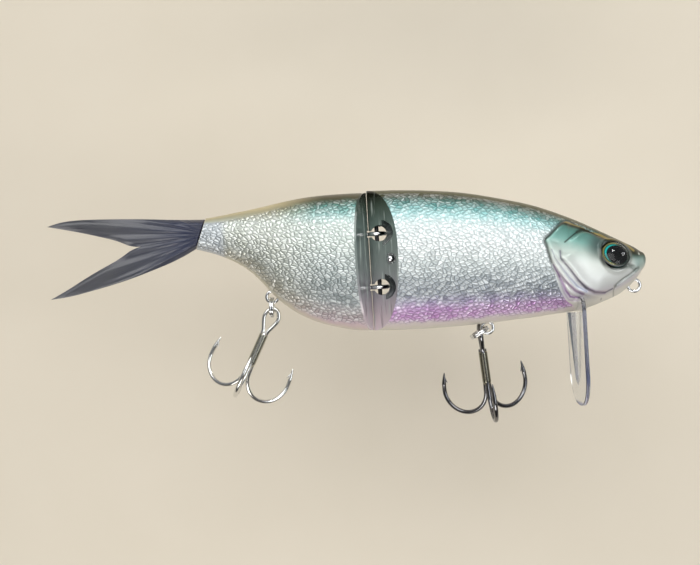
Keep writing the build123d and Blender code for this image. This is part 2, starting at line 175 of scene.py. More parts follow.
def tube(name, path, radius, sides=20):
    """A round wire along a path; radius is one number or one for each point."""
    path = np.asarray(path, float)
    radius = np.broadcast_to(np.asarray(radius, float), (len(path),))
    tangent = np.gradient(path, axis=0)
    tangent /= np.linalg.norm(tangent, axis=1)[:, None]
    ref = np.array([0, 1, 0]) if abs(tangent[0][1]) < 0.9 else np.array([1, 0, 0])
    side = np.cross(tangent[0], ref)
    side /= np.linalg.norm(side)
    rings = []
    turn = np.linspace(0, 2 * math.pi, sides, endpoint=False)
    for p, t, r in zip(path, tangent, radius):
        side = side - t * (side @ t)
        side /= np.linalg.norm(side)
        up = np.cross(t, side)
        rings.append(p + r * (np.cos(turn)[:, None] * side + np.sin(turn)[:, None] * up))
    verts = np.concatenate(rings)
    faces = grid_faces(len(path), sides, wrap=True)
    faces += [tuple(range(sides))[::-1], tuple(range(len(verts) - sides, len(verts)))]
    return mesh_object(name, verts, faces)


def join(objs, name):
    """One object out of several."""
    bpy.ops.object.select_all(action="DESELECT")
    for o in objs:
        o.select_set(True)
    bpy.context.view_layer.objects.active = objs[0]
    bpy.ops.object.join()
    objs[0].name = name
    return objs[0]


def cylinder(centre, axis, radius, length, sides=64):
    """A closed round cutter, in metres."""
    c, a = Vector(centre), Vector(axis).normalized()
    return tube("cutter", [c - a * length / 2, c + a * length / 2], radius, sides=sides)


def cut(obj, cutter):
    """Takes a closed cutter out of the object."""
    mod = obj.modifiers.new("cut", "BOOLEAN")
    mod.operation, mod.solver, mod.object = "DIFFERENCE", "EXACT", cutter
    bpy.context.view_layer.objects.active = obj
    bpy.ops.object.modifier_apply(modifier=mod.name)
    bpy.data.objects.remove(cutter)


def soften(obj):
    """Small rounds on the edges that cutting left."""
    obj.data.set_sharp_from_angle(angle=math.radians(SHARP_ANGLE))
    mod = obj.modifiers.new("edge", "BEVEL")
    mod.width, mod.segments, mod.limit_method, mod.angle_limit = 0.1 * MM, 2, "ANGLE", math.radians(40)
    mod.harden_normals = False


def stands_for(obj, node, body):
    """The piece moves with the body, if one is given, and hides the CAD node."""
    if body:
        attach(obj, body)
    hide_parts(node)


# ---- helpers: materials
def rgb(r, g, b):
    """Screen colour, 0 to 255, as a linear one."""
    linear = [((c / 255 + 0.055) / 1.055) ** 2.4 if c > 10 else c / 255 / 12.92 for c in (r, g, b)]
    return (*linear, 1.0)


class Nodes:
    """Short names for building a node tree."""

    def __init__(self, name):
        self.mat = bpy.data.materials.new(name)
        self.mat.use_nodes = True
        self.tree = self.mat.node_tree
        self.bsdf = self.tree.nodes["Principled BSDF"]

    def add(self, kind, inputs=None, **settings):
        n = self.tree.nodes.new("ShaderNode" + kind)
        for k, v in settings.items():
            setattr(n, k, v)
        for k, v in (inputs or {}).items():
            self.put(n.inputs[k], v)
        return n

    def put(self, socket, v):
        if isinstance(v, bpy.types.NodeSocket):
            self.tree.links.new(v, socket)
        else:
            socket.default_value = v

    def maths(self, op, a, b=0.0, c=0.0, clamp=False):
        return self.add("Math", {0: a, 1: b, 2: c}, operation=op, use_clamp=clamp).outputs[0]

    def plus(self, a, b, clamp=False):
        return self.maths("ADD", a, b, clamp=clamp)

    def minus(self, a, b):
        return self.maths("SUBTRACT", a, b)

    def times(self, a, b):
        return self.maths("MULTIPLY", a, b)

    def divided(self, a, b, clamp=False):
        return self.maths("DIVIDE", a, b, clamp=clamp)

    def radius(self, a, b):
        """Length of the vector (a, b)."""
        return self.maths("SQRT", self.plus(self.times(a, a), self.times(b, b)))

    def ramp(self, factor, stops):
        """A colour read from stops (place, colour)."""
        n = self.add("ValToRGB", {0: factor})
        e = n.color_ramp.elements
        while len(e) > 1:
            e.remove(e[-1])
        e[0].position, e[0].color = stops[0]
        for pos, col in stops[1:]:
            e.new(pos).color = col
        return n.outputs[0]

    def mix(self, factor, a, b, mode="MIX"):
        n = self.add("Mix", data_type="RGBA", blend_type=mode)
        self.put(n.inputs[0], factor)
        self.put(n.inputs[6], a)
        self.put(n.inputs[7], b)
        return n.outputs[2]

    def paint(self, under, mask, amount, colour):
        """The colour laid over what is under it, as far as the mask goes."""
        return self.mix(self.times(mask, amount), under, colour)

    def share(self, x, low, high, kind="LINEAR"):
        """0 at low and 1 at high."""
        ends = {"Value": x, "From Min": low, "From Max": high}
        return self.add("MapRange", ends, interpolation_type=kind).outputs[0]

    def step(self, x, low, high):
        return self.share(x, low, high, "SMOOTHSTEP")

    def vector(self, x, y, z):
        return self.add("CombineXYZ", {0: x, 1: y, 2: z}).outputs[0]

    def curve(self, x, points):
        """A value through points (x, y), all in 0 to 1."""
        n = self.add("FloatCurve", {"Value": x})
        c = n.mapping.curves[0]
        c.points[0].location, c.points[-1].location = points[0], points[-1]
        for p in points[1:-1]:
            c.points.new(*p)
        n.mapping.update()
        return n.outputs[0]

    def split(self, v):
        return self.add("SeparateXYZ", {0: v}).outputs

    def place(self):
        """Where a point of the object is, in metres."""
        return self.add("TexCoord").outputs["Object"]

    def noise(self, where, scale, detail):
        return self.add("TexNoise", {"Vector": where, "Scale": scale, "Detail": detail}).outputs

    def set(self, **inputs):
        """Sets the shader's sockets, each a constant or a node's output."""
        for k, v in inputs.items():
            self.put(self.bsdf.inputs[k.replace("_", " ")], v)
        return self.mat


def put_on(obj, *materials):
    """The object's materials, in slot order."""
    obj.data.materials.clear()
    for m in materials:
        obj.data.materials.append(m)
    return obj


def wire_metal(name, colour, rough):
    """Drawn wire: metal with a fine grain."""
    n = Nodes(name)
    grain = n.noise(n.place(), 900.0, 3.0)[0]
    shade = n.mix(grain, tuple(c * 0.85 for c in colour[:3]) + (1,), colour)
    roughness = n.maths("MULTIPLY_ADD", grain, 0.05, rough)
    return n.set(Base_Color=shade, Metallic=1.0, Roughness=roughness)


# ---- the body's lines, in mm from the line tie
# (x, back, belly, widest height, half width, upper fullness, lower fullness), tail to nose
FRONT = [
    (-74.7, 30.9, -8.4, 13.6, 10.6, 2.3, 2.3), (-66.0, 30.65, -8.7, 13.5, 10.8, 2.3, 2.3),
    (-57.0, 30.0, -8.75, 13.2, 10.95, 2.3, 2.3), (-47.8, 28.9, -8.5, 12.8, 11.0, 2.25, 2.3),
    (-36.5, 26.5, -7.9, 11.8, 10.8, 2.2, 2.25), (-27.0, 23.9, -7.2, 10.4, 10.3, 2.1, 2.2),
    (-19.6, 21.0, -6.5, 8.6, 9.6, 2.0, 2.1), (-14.1, 18.5, -5.7, 7.2, 8.8, 1.9, 2.0),
    (-8.5, 15.6, -3.9, 6.0, 7.6, 1.8, 1.9), (-4.0, 13.2, -2.0, 5.7, 6.3, 1.8, 1.9),
    (-1.0, 11.6, 0.2, 5.9, 5.1, 1.85, 1.9), (1.2, 10.3, 2.4, 6.3, 3.9, 1.9, 1.9),
    (2.6, 9.3, 4.3, 6.8, 2.6, 1.9, 1.9), (3.5, 8.35, 5.8, 7.1, 1.3, 1.9, 1.9),
    (3.75, 7.6, 6.8, 7.2, 0.5, 1.9, 1.9),
]
REAR = [
    (-124.6, 25.9, 17.7, 21.9, 3.25, 2.0, 2.0), (-118.0, 26.6, 15.6, 21.3, 3.8, 2.0, 2.0),
    (-112.4, 27.4, 12.8, 20.3, 4.6, 2.05, 2.0), (-107.5, 28.1, 8.9, 18.9, 5.6, 2.1, 2.0),
    (-102.4, 29.0, 3.0, 17.1, 6.8, 2.15, 2.05), (-96.5, 30.0, -2.0, 15.9, 8.1, 2.2, 2.1),
    (-90.0, 30.7, -5.3, 14.9, 9.3, 2.25, 2.2), (-84.0, 30.9, -7.1, 14.2, 10.1, 2.3, 2.3),
    (-79.0, 30.9, -8.1, 13.8, 10.5, 2.3, 2.3), (-75.2, 30.8, -8.35, 13.6, 10.6, 2.3, 2.3),
]
front_lo, front_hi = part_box("front_shell_right")
rear_lo, rear_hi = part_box("rear_shell_right")


def fitted(rows, lo, hi, near_x, far_x):
    """The rows scaled so that they fill the CAD piece's box, still in mm."""
    rows = np.array(rows)
    x0, x1 = rows[0, 0], rows[-1, 0]
    rows[:, 0] = near_x / MM + (rows[:, 0] - x0) * (far_x - near_x) / MM / (x1 - x0)
    z0, z1 = rows[:, 2].min(), rows[:, 1].max()
    for c in (1, 2, 3):
        rows[:, c] = lo.z / MM + (rows[:, c] - z0) * (hi.z - lo.z) / MM / (z1 - z0)
    rows[:, 4] *= -lo.y / MM / rows[:, 4].max()
    return rows


front_rows = fitted(FRONT, front_lo, front_hi, front_lo.x, front_hi.x + 0.05 * MM)
rear_rows = fitted(REAR, rear_lo, rear_hi, REAR[0][0] * MM, rear_hi.x)

# the faces in the joint slope back from an upright tip of this half width: mm along for each mm across
TIP_HALF = 0.4
RAKE = {"front": 0.733, "rear": -0.362}
pin_lo, pin_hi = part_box("hinge_pin")
pin = ((pin_lo + pin_hi) / 2) / MM
WINDOW_AHEAD = 0.55     # mm from the pin to the middle of the windows that show it
joint_heights = [sum((p.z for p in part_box(n)), 0.0) / 2 / MM for n in ("upper_joint_eye", "lower_joint_eye")]

# lines on the head as they look from the side, (x, z) in mm from the line tie
GILL = [(-15.6, 18.6), (-17.2, 19.3), (-18.6, 19.2), (-20.1, 18.3), (-21.8, 16.9), (-23.2, 15.6),
        (-24.7, 14.6), (-24.1, 12.9), (-23.8, 11.0), (-23.0, 8.2), (-21.2, 4.9), (-18.8, 1.8),
        (-16.6, -0.5), (-14.4, -1.7), (-11.5, -2.5), (-8.5, -2.7)]
CHEEK = [(-20.5, 11.0), (-20.5, 8.9), (-19.0, 7.0), (-17.7, 5.2), (-15.9, 2.4), (-13.7, 0.1), (-11.2, -1.3),
         (-8.2, -1.6), (-6.0, -0.6)]
PLATE = [(-23.0, 11.6), (-22.1, 9.2), (-20.3, 6.4), (-18.2, 3.3), (-16.0, 0.6), (-13.6, -0.9)]
BRANCH = [(-22.7, 7.2), (-21.3, 4.6), (-20.1, 2.2), (-19.1, -0.4), (-17.8, -2.2), (-14.6, -2.9)]
BRANCH2 = [(-21.6, 4.6), (-20.5, 1.9), (-19.5, -1.0), (-18.2, -3.1), (-14.8, -3.7)]
NOTCH = [(-18.9, 13.5), (-16.8, 15.0), (-14.9, 16.2), (-13.2, 16.8), (-11.0, 16.3), (-8.6, 14.9),
         (-7.0, 13.7)]
JAW = [(1.3, 4.9), (0.4, 4.2), (-0.9, 3.1), (-3.2, 1.8), (-5.3, 0.1)]
JAW_HINGE = [(-5.3, 0.1), (-5.7, -1.2), (-5.3, -2.9)]
CREASE = [(-3.6, 5.4), (-1.6, 5.7), (-0.3, 5.3), (0.4, 4.4)]
GOLD = [(-19.2, 19.9), (-14.1, 18.1), (-11.3, 16.9), (-8.5, 15.1), (-6.3, 13.7), (-3.8, 13.2), (-1.4, 12.0),
        (0.5, 10.0)]


def on_flank(points):
    """The flank is nearer to the eye than the middle plane, so lines seen on it lie closer to the centre."""
    centre_x, centre_z, distance = -80.7, 5.6, 340.0
    moved = []
    for x, z in points:
        half_width = min(10.0, 3.2 + 0.33 * (1 - x))
        nearer = 1 + half_width / distance
        moved.append((centre_x + (x - centre_x) / nearer, centre_z + (z - centre_z) / nearer))
    return moved


GILL, CHEEK, PLATE, BRANCH, BRANCH2, NOTCH, JAW, JAW_HINGE, CREASE, GOLD = (
    on_flank(k) for k in (GILL, CHEEK, PLATE, BRANCH, BRANCH2, NOTCH, JAW, JAW_HINGE, CREASE, GOLD))


# where the moulded scales begin: the gill cover, then the plates under it down to the throat
HEAD_EDGE = GILL[:10] + on_flank([
    (-22.1, 4.4), (-21.2, 1.6), (-20.2, -1.2), (-18.8, -3.4), (-16.6, -4.7), (-15.0, -7.4)])

# moulded lines on the head: line, half width and depth (mm), and the share of it over which each end dies out
GROOVES = [
    (GILL, 0.5, 0.22, 0.12), (CHEEK, 0.5, 0.45, 0.2), (PLATE, 0.45, 0.4, 0.2), (BRANCH, 0.45, 0.5, 0.15),
    (BRANCH2, 0.45, 0.4, 0.2), (NOTCH, 0.45, 0.7, 0.3), (JAW, 0.32, 0.35, 0.1), (JAW_HINGE, 0.3, 0.25, 0.12),
    (CREASE, 0.55, 0.5, 0.25),
]


def ahead_of(line, x, z):
    """Distance ahead of a line, negative behind it, and the share of the way along."""
    d, side, along = line_distance(rounded(line), x, z)
    return np.where(side > 0, d, -d), along


def ledge(line, x, z, height, low, high, reach, start, end):
    """A step up just ahead of a line, which runs out over the reach."""
    ahead, along = ahead_of(line, x, z)
    ends = smoothstep(0.0, start, along) * smoothstep(1.0, end, along)
    return height * smoothstep(low, high, ahead) * np.exp(-(np.maximum(ahead, 0) / reach) ** 2) * ends


def head_relief(x, z):
    """Height of the moulded head above the plain body, in mm."""
    h = ledge(GILL, x, z, 0.75, -0.35, 0.2, 2.9, 0.08, 0.86)
    h += ledge(CHEEK, x, z, 0.8, -0.5, 0.3, 2.7, 0.18, 0.75)
    for line, width, depth, fade in GROOVES:
        d, _, along = line_distance(rounded(line), x, z)
        h -= depth * np.exp(-(d / width) ** 2) * smoothstep(0, fade, along) * smoothstep(1, 1 - fade, along)
    beside, along = ahead_of(NOTCH, x, z)
    h += 0.35 * np.exp(-((beside + 1.1) / 0.8) ** 2) * smoothstep(0, 0.3, along) * smoothstep(1, 0.6, along)
    return h


# the right eye of the fish: the way it faces, and the middle of its rim
sight = Vector((0.20, -0.83, 0.52)).normalized()
disc_lo, disc_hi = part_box("eye_disc_right")
sight_mid = (disc_lo + disc_hi) / 2 + sight * 0.55 * MM


SEAM = 0.012            # mm from the middle plane to the flat of each half
NEAR_EYE = 6.0          # mm from the eye's plane: what is further away is another part of the head


def eye_seat(p):
    """Raised rim and sunk seat of the eye, and the nostril, pressed into the left half's points (mm)."""
    middle = np.array([sight_mid.x, -sight_mid.y, sight_mid.z]) / MM
    axis = np.array([sight.x, -sight.y, sight.z])
    off = (p - middle) @ axis
    radial = np.linalg.norm(p - middle - off[..., None] * axis, axis=-1)
    near = (np.abs(off) < NEAR_EYE) & (p[..., 1] > 0)
    p += axis * (0.45 * np.exp(-((radial - 4.75) / 0.42) ** 2) * near)[..., None]
    off = (p - middle) @ axis
    p += axis * ((-1.0 - off) * smoothstep(4.3, 4.08, radial) * near)[..., None]
    nostril = np.hypot(p[..., 0] - 1.6, p[..., 2] - 9.1)
    p[..., 1] -= 0.35 * np.exp(-(nostril / 0.45) ** 2) * (p[..., 1] > 0.8)


def outward(p):
    """Unit normals of a grid of points on the left flank."""
    normal = np.cross(np.gradient(p, axis=0), np.gradient(p, axis=1))
    normal /= np.maximum(np.linalg.norm(normal, axis=-1), 1e-9)[..., None]
    return -normal if np.mean(normal[..., 1]) < 0 else normal


def scale_map(p, x, z, is_front):
    """Flat coordinates for the scales, in scale sizes along and round the body, and mm ahead of the gill."""
    steps = np.linalg.norm(np.diff(p, axis=1), axis=2)
    around = np.concatenate([np.zeros((len(x), 1)), np.cumsum(steps, 1)], 1)
    around -= around[:, p.shape[1] // 2][:, None]
    along, across = x / 1.36, around / 1.06
    ahead = ahead_of(HEAD_EDGE, x, z)[0] if is_front else np.full_like(x, -9.0)
    return np.stack([0.85 * along - 0.53 * across, 0.53 * along + 0.85 * across, ahead], -1).reshape(-1, 3)


def body_half(name, rows, side, apex_x, rake, detail):
    """One closed half of a body, worked out on the left and flipped to its side, raked at the joint."""
    lo_x, hi_x = rows[0, 0], rows[-1, 0]
    is_front = rake > 0
    turns = np.radians(np.linspace(0, 180, detail[1]))
    up, out = np.cos(turns), np.sin(turns)

    def section(x):
        """Half outline at x, which is one number or one for each turn: (half width, height)."""
        back, belly, wide, half, fu, fl = (spline(rows[:, 0], rows[:, c], x) for c in range(1, 7))
        full = np.where(up >= 0, fu, fl)
        reach = np.where(up >= 0, back - wide, wide - belly)
        size = (np.abs(up) ** full + out ** full) ** (1 / full)
        return half * out / size, wide + reach * up / size

    # where each line of the grid meets the raked face, found by repeating
    end = np.full(len(turns), apex_x, float)
    for _ in range(40):
        y, z = section(np.clip(end, lo_x, hi_x))
        end = apex_x + rake * np.maximum(y - TIP_HALF, 0)
    start = np.full(len(turns), hi_x if is_front else lo_x, float)
    if not is_front:
        # the slanted, rounded end that holds the tail
        for _ in range(30):
            y, z = section(np.clip(start, lo_x, hi_x))
            start = -122.35 + (z - 21.85) * 0.368 + 0.02 * y * y
    share = np.linspace(0, 1, detail[0]) ** (1.35 if is_front else 1)      # closer together at the nose
    x = start[None] + (end - start)[None] * share[:, None]
    y, z = np.empty_like(x), np.empty_like(x)
    for i in range(len(share)):
        y[i], z[i] = section(x[i])
    y = np.maximum(y, 0)
    p = np.stack([x, y, z], -1)
    h = -0.16 * np.exp(-(y / 0.28) ** 2) * (share[:, None] > 0.01)         # the joint line between the halves
    if is_front:
        h += head_relief(x, z) * smoothstep(0.6, 2.2, y) * smoothstep(-30, -27, x)
    p = p + outward(p) * h[..., None]
    if is_front:
        eye_seat(p)
    p[:, 0, 1] = p[:, -1, 1] = SEAM
    flank = scale_map(p, x, z, is_front)
    p[..., 1] *= side
    n_rows, n_cols = x.shape

    # raked face: straight lines from the rim to the tip line, then in to the flat
    rim, steps = p[-1], 14
    tip = np.stack([np.full(n_cols, apex_x), np.full(n_cols, side * TIP_HALF), rim[:, 2]], -1)
    thin = np.abs(rim[:, 1]) < TIP_HALF
    tip[thin, :2] = rim[thin, :2]
    flat = tip * (1, 0, 1) + (0, SEAM * side, 0)
    added = [rim + (tip - rim) * k / steps for k in range(1, steps + 1)] + [flat]
    base = n_rows * n_cols
    links = [(base - n_cols, base)] + [(base + k * n_cols, base + (k + 1) * n_cols) for k in range(steps)]
    if not is_front:
        # the tail end, turned in and closed
        centre = p[0] * (1, 0, 1) + (0, SEAM * side, 0)
        deeper = np.array([0.35, 0, 0])
        inner = base + len(added) * n_cols
        added += [p[0] + (centre - p[0]) * 0.18 + deeper, centre + deeper]
        links += [(0, inner), (inner, inner + n_cols)]
    verts = np.concatenate([p.reshape(-1, 3)] + added)
    faces = grid_faces(n_rows, n_cols)
    for a, b in links:
        faces += [(a + j, a + j + 1, b + j + 1, b + j) for j in range(n_cols - 1)]

    obj = mesh_object(name, verts * MM, faces)
    place = np.zeros((len(verts), 3), np.float32)
    place[:len(flank)] = flank
    if not is_front:
        place[len(flank):] = place[0]
    obj.data.attributes.new("flank", "FLOAT_VECTOR", "POINT").data.foreach_set("vector", place.ravel())
    with editing(obj, 2e-6) as bm:
        loose = [e for e in bm.edges if len(e.link_faces) == 1]
        bmesh.ops.triangle_fill(bm, edges=loose, use_beauty=True, use_dissolve=False)
    return obj


def block(centre, size):
    """A closed box cutter, in metres."""
    bpy.ops.mesh.primitive_cube_add(size=1)
    box = bpy.context.object
    box.scale, box.location = size, centre
    bpy.ops.object.transform_apply(location=True, rotation=False, scale=True)
    return box


SWEEP_R, SWEEP_H = 3.1 * MM, 1.9 * MM               # room round the pin in the rear body
WINDOW_R, RECESS_R, SLOT_H = 2.25 * MM, 3.7 * MM, 1.8 * MM
RECESS_FLOOR, RECESS_L = 5.4 * MM, 12 * MM          # from the middle plane, and the cutter's length
CROSS = (0, 1, 0)
shells = {}
for side, hand in ((-1, "right"), (1, "left")):
    body = body_half("front_body_" + hand, front_rows, side, front_lo.x / MM, RAKE["front"], (240, 140))
    for z in joint_heights:
        window = Vector((pin.x + WINDOW_AHEAD, 0, z)) * MM
        cut(body, cylinder(window, CROSS, WINDOW_R, 0.03))
        cut(body, block(window - Vector((2.5 * MM, 0, 0)), (5 * MM, 0.03, SLOT_H)))
        recess = window + Vector((0, side * (RECESS_FLOOR + RECESS_L / 2), 0))
        cut(body, cylinder(recess, CROSS, RECESS_R, RECESS_L))
    ball = sum(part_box("joint_ball_" + hand), Vector()) / 2
    cut(body, cylinder(ball + Vector((0, side * 4.2 * MM, 0)), CROSS, 1.55 * MM, 0.010, 40))
    cut(body, cylinder(ball + Vector((0, side * 0.6 * MM, 0)), CROSS, 1.2 * MM, 0.0034, 40))
    soften(body)
    shells["front", hand] = body

    body = body_half("rear_body_" + hand, rear_rows, side, rear_hi.x / MM + 0.35, RAKE["rear"], (160, 120))
    for z in joint_heights:
        cut(body, cylinder(Vector((pin.x, 0, z)) * MM, (0, 0, 1), SWEEP_R, SWEEP_H))
    soften(body)
    shells["rear", hand] = body

# ---- paint of the body
def tones(*stops):
    """Stops (place, red, green, blue) in screen colours."""
    return [(place, rgb(*colour)) for place, *colour in stops]


# the box in which the body's outline is drawn as curves
LOW_X, HIGH_X, LOW_Z, HIGH_Z = -0.126, 0.0045, -0.010, 0.034

# colours from the belly, 0, to the back, 1
FRONT_BANDS = tones(
    (0.00, 206, 200, 186), (0.045, 206, 194, 194), (0.075, 204, 152, 208), (0.14, 190, 146, 200),
    (0.19, 152, 142, 172), (0.25, 136, 142, 152), (0.36, 160, 168, 172), (0.47, 200, 208, 208),
    (0.60, 232, 238, 238), (0.74, 222, 234, 234), (0.82, 176, 222, 222), (0.87, 112, 176, 174),
    (0.925, 72, 118, 108), (0.955, 54, 60, 24), (1.0, 62, 58, 4))
REAR_BANDS = tones(
    (0.00, 206, 194, 180), (0.05, 200, 176, 186), (0.11, 170, 160, 162), (0.20, 132, 140, 142),
    (0.34, 150, 160, 160), (0.48, 178, 188, 186), (0.62, 210, 220, 214), (0.76, 216, 228, 222),
    (0.84, 168, 208, 204), (0.895, 100, 160, 152), (0.935, 80, 108, 90), (0.96, 66, 64, 38),
    (1.0, 62, 56, 30))
TAIL_END_BANDS = tones(
    (0.0, 196, 190, 166), (0.10, 186, 182, 166), (0.3, 176, 180, 170), (0.55, 206, 210, 200),
    (0.8, 220, 226, 216), (0.9, 204, 202, 176), (1.0, 186, 168, 122))
HEAD_BANDS = tones(
    (0.0, 206, 202, 190), (0.10, 208, 204, 196), (0.16, 204, 200, 204), (0.25, 204, 206, 204),
    (0.50, 208, 212, 208), (0.62, 186, 200, 192), (0.74, 130, 178, 168), (0.84, 92, 142, 132),
    (0.90, 70, 94, 78), (0.945, 50, 48, 14), (1.0, 50, 46, 4))


def outline_curve(n, along, rows, column):
    """Height of the back or the belly along the body, as a share of the box."""
    picked = rows[::2] if len(rows) > 12 else rows
    xs = (picked[:, 0] * MM - LOW_X) / (HIGH_X - LOW_X)
    ys = (picked[:, column] * MM - LOW_Z) / (HIGH_Z - LOW_Z)
    return n.curve(along, [(0.0, ys[0]), *zip(xs, ys), (1.0, ys[-1])])


def head_paint(n, x, z, level):
    """Colours of the head, with the dark and lilac lines that lie in its moulded grooves, and painted shade
    along the mouth line, under the eye and along the edge of the cheek plate.
    """
    def spot(cx, cz, rx, rz, soft):
        """1 in an ellipse (mm), fading to 0 over its soft rim."""
        a = n.divided(n.minus(x, cx * MM), rx * MM)
        b = n.divided(n.minus(z, cz * MM), rz * MM)
        return n.step(n.radius(a, b), 1.0 + 0.5 * soft, 1.0 - 0.5 * soft)

    def stripe(points, half, soft):
        """1 on a line drawn on the head (mm), fading to 0 beside it."""
        nearest = None
        for (ax, az), (bx, bz) in zip(points, points[1:]):
            dx, dz = bx - ax, bz - az
            per_mm = 1 / (dx * dx + dz * dz) / MM
            px, pz = n.minus(x, ax * MM), n.minus(z, az * MM)
            t = n.maths("MULTIPLY_ADD", px, dx * per_mm, n.times(pz, dz * per_mm), clamp=True)
            d = n.radius(n.maths("MULTIPLY_ADD", t, -dx * MM, px), n.maths("MULTIPLY_ADD", t, -dz * MM, pz))
            nearest = d if nearest is None else n.maths("MINIMUM", nearest, d)
        return n.step(nearest, (half + soft) * MM, half * MM)

    low = n.step(z, 0.009, -0.001)
    lilac = (150, 120, 160)
    marks = [
        (spot(-10.2, 11.6, 3.6, 3.2, 1.4), 0.85, (66, 78, 76)),             # shade behind the eye
        (spot(-9.6, 6.8, 4.5, 2.6, 1.6), 0.35, (128, 136, 120)),
        (spot(1.2, 9.9, 3.8, 2.3, 1.0), 0.95, (46, 46, 28)),                # nose
        (spot(3.2, 7.2, 0.7, 1.0, 1.4), 0.8, (34, 34, 26)),
        (spot(1.4, 6.2, 2.0, 1.7, 1.4), 0.6, (120, 160, 152)),
        (n.times(stripe(GILL[7:14], 0.1, 0.5), low), 0.75, lilac),
        (n.times(stripe(BRANCH, 0.15, 0.4), low), 0.8, lilac),
        (n.times(stripe(BRANCH2, 0.05, 0.4), low), 0.45, lilac),
        (n.times(stripe(CHEEK[2:8], 0.15, 0.6), low), 0.6, lilac),
        (n.times(stripe(PLATE, 0.15, 0.5), low), 0.5, (190, 200, 232)),
        (stripe(NOTCH[2:], 0.05, 0.7), 0.8, (46, 48, 34)),
        (stripe(NOTCH[:3], 0.04, 0.35), 0.8, (46, 52, 44)),
        (stripe(GILL[1:7], 0.12, 0.4), 0.75, (50, 58, 52)),
        (stripe(GOLD, 0.75, 0.6), 0.85, (44, 44, 28)),
        (stripe(GOLD, 0.22, 0.3), 0.95, (142, 126, 70)),
        # painted shade along the mouth line
        (stripe(JAW, 0.08, 0.75), 0.7, (110, 118, 112)),
        (stripe(JAW_HINGE, 0.08, 0.25), 0.6, (130, 130, 124)),
        # painted shade in the crease under the eye
        (stripe(CREASE, 0.2, 0.9), 0.7, (84, 98, 90)),
        # painted shade along the edge of the cheek plate
        (stripe(CHEEK[:6], 0.05, 0.9), 0.5, (112, 120, 118)),
        (stripe(CHEEK, 0.05, 0.35), 0.75, (90, 88, 104)),
        (stripe(PLATE, 0.04, 0.3), 0.55, (110, 108, 124)),
        (stripe(BRANCH, 0.04, 0.3), 0.7, (112, 84, 124)),
        (spot(1.3, 8.9, 0.32, 0.32, 0.5), 0.8, (190, 198, 192)),            # nostril
        (spot(-10.3, -3.3, 0.25, 0.4, 0.8), 0.6, (110, 108, 104)),          # dimple in the throat
        (spot(sight_mid.x / MM, sight_mid.z / MM, 5.0, 4.3, 0.3), 0.92, (38, 42, 36)),  # rim round the eye
    ]
    skin = n.ramp(level, HEAD_BANDS)
    for mask, amount, colour in marks:
        skin = n.paint(skin, mask, amount, rgb(*colour))
    return skin


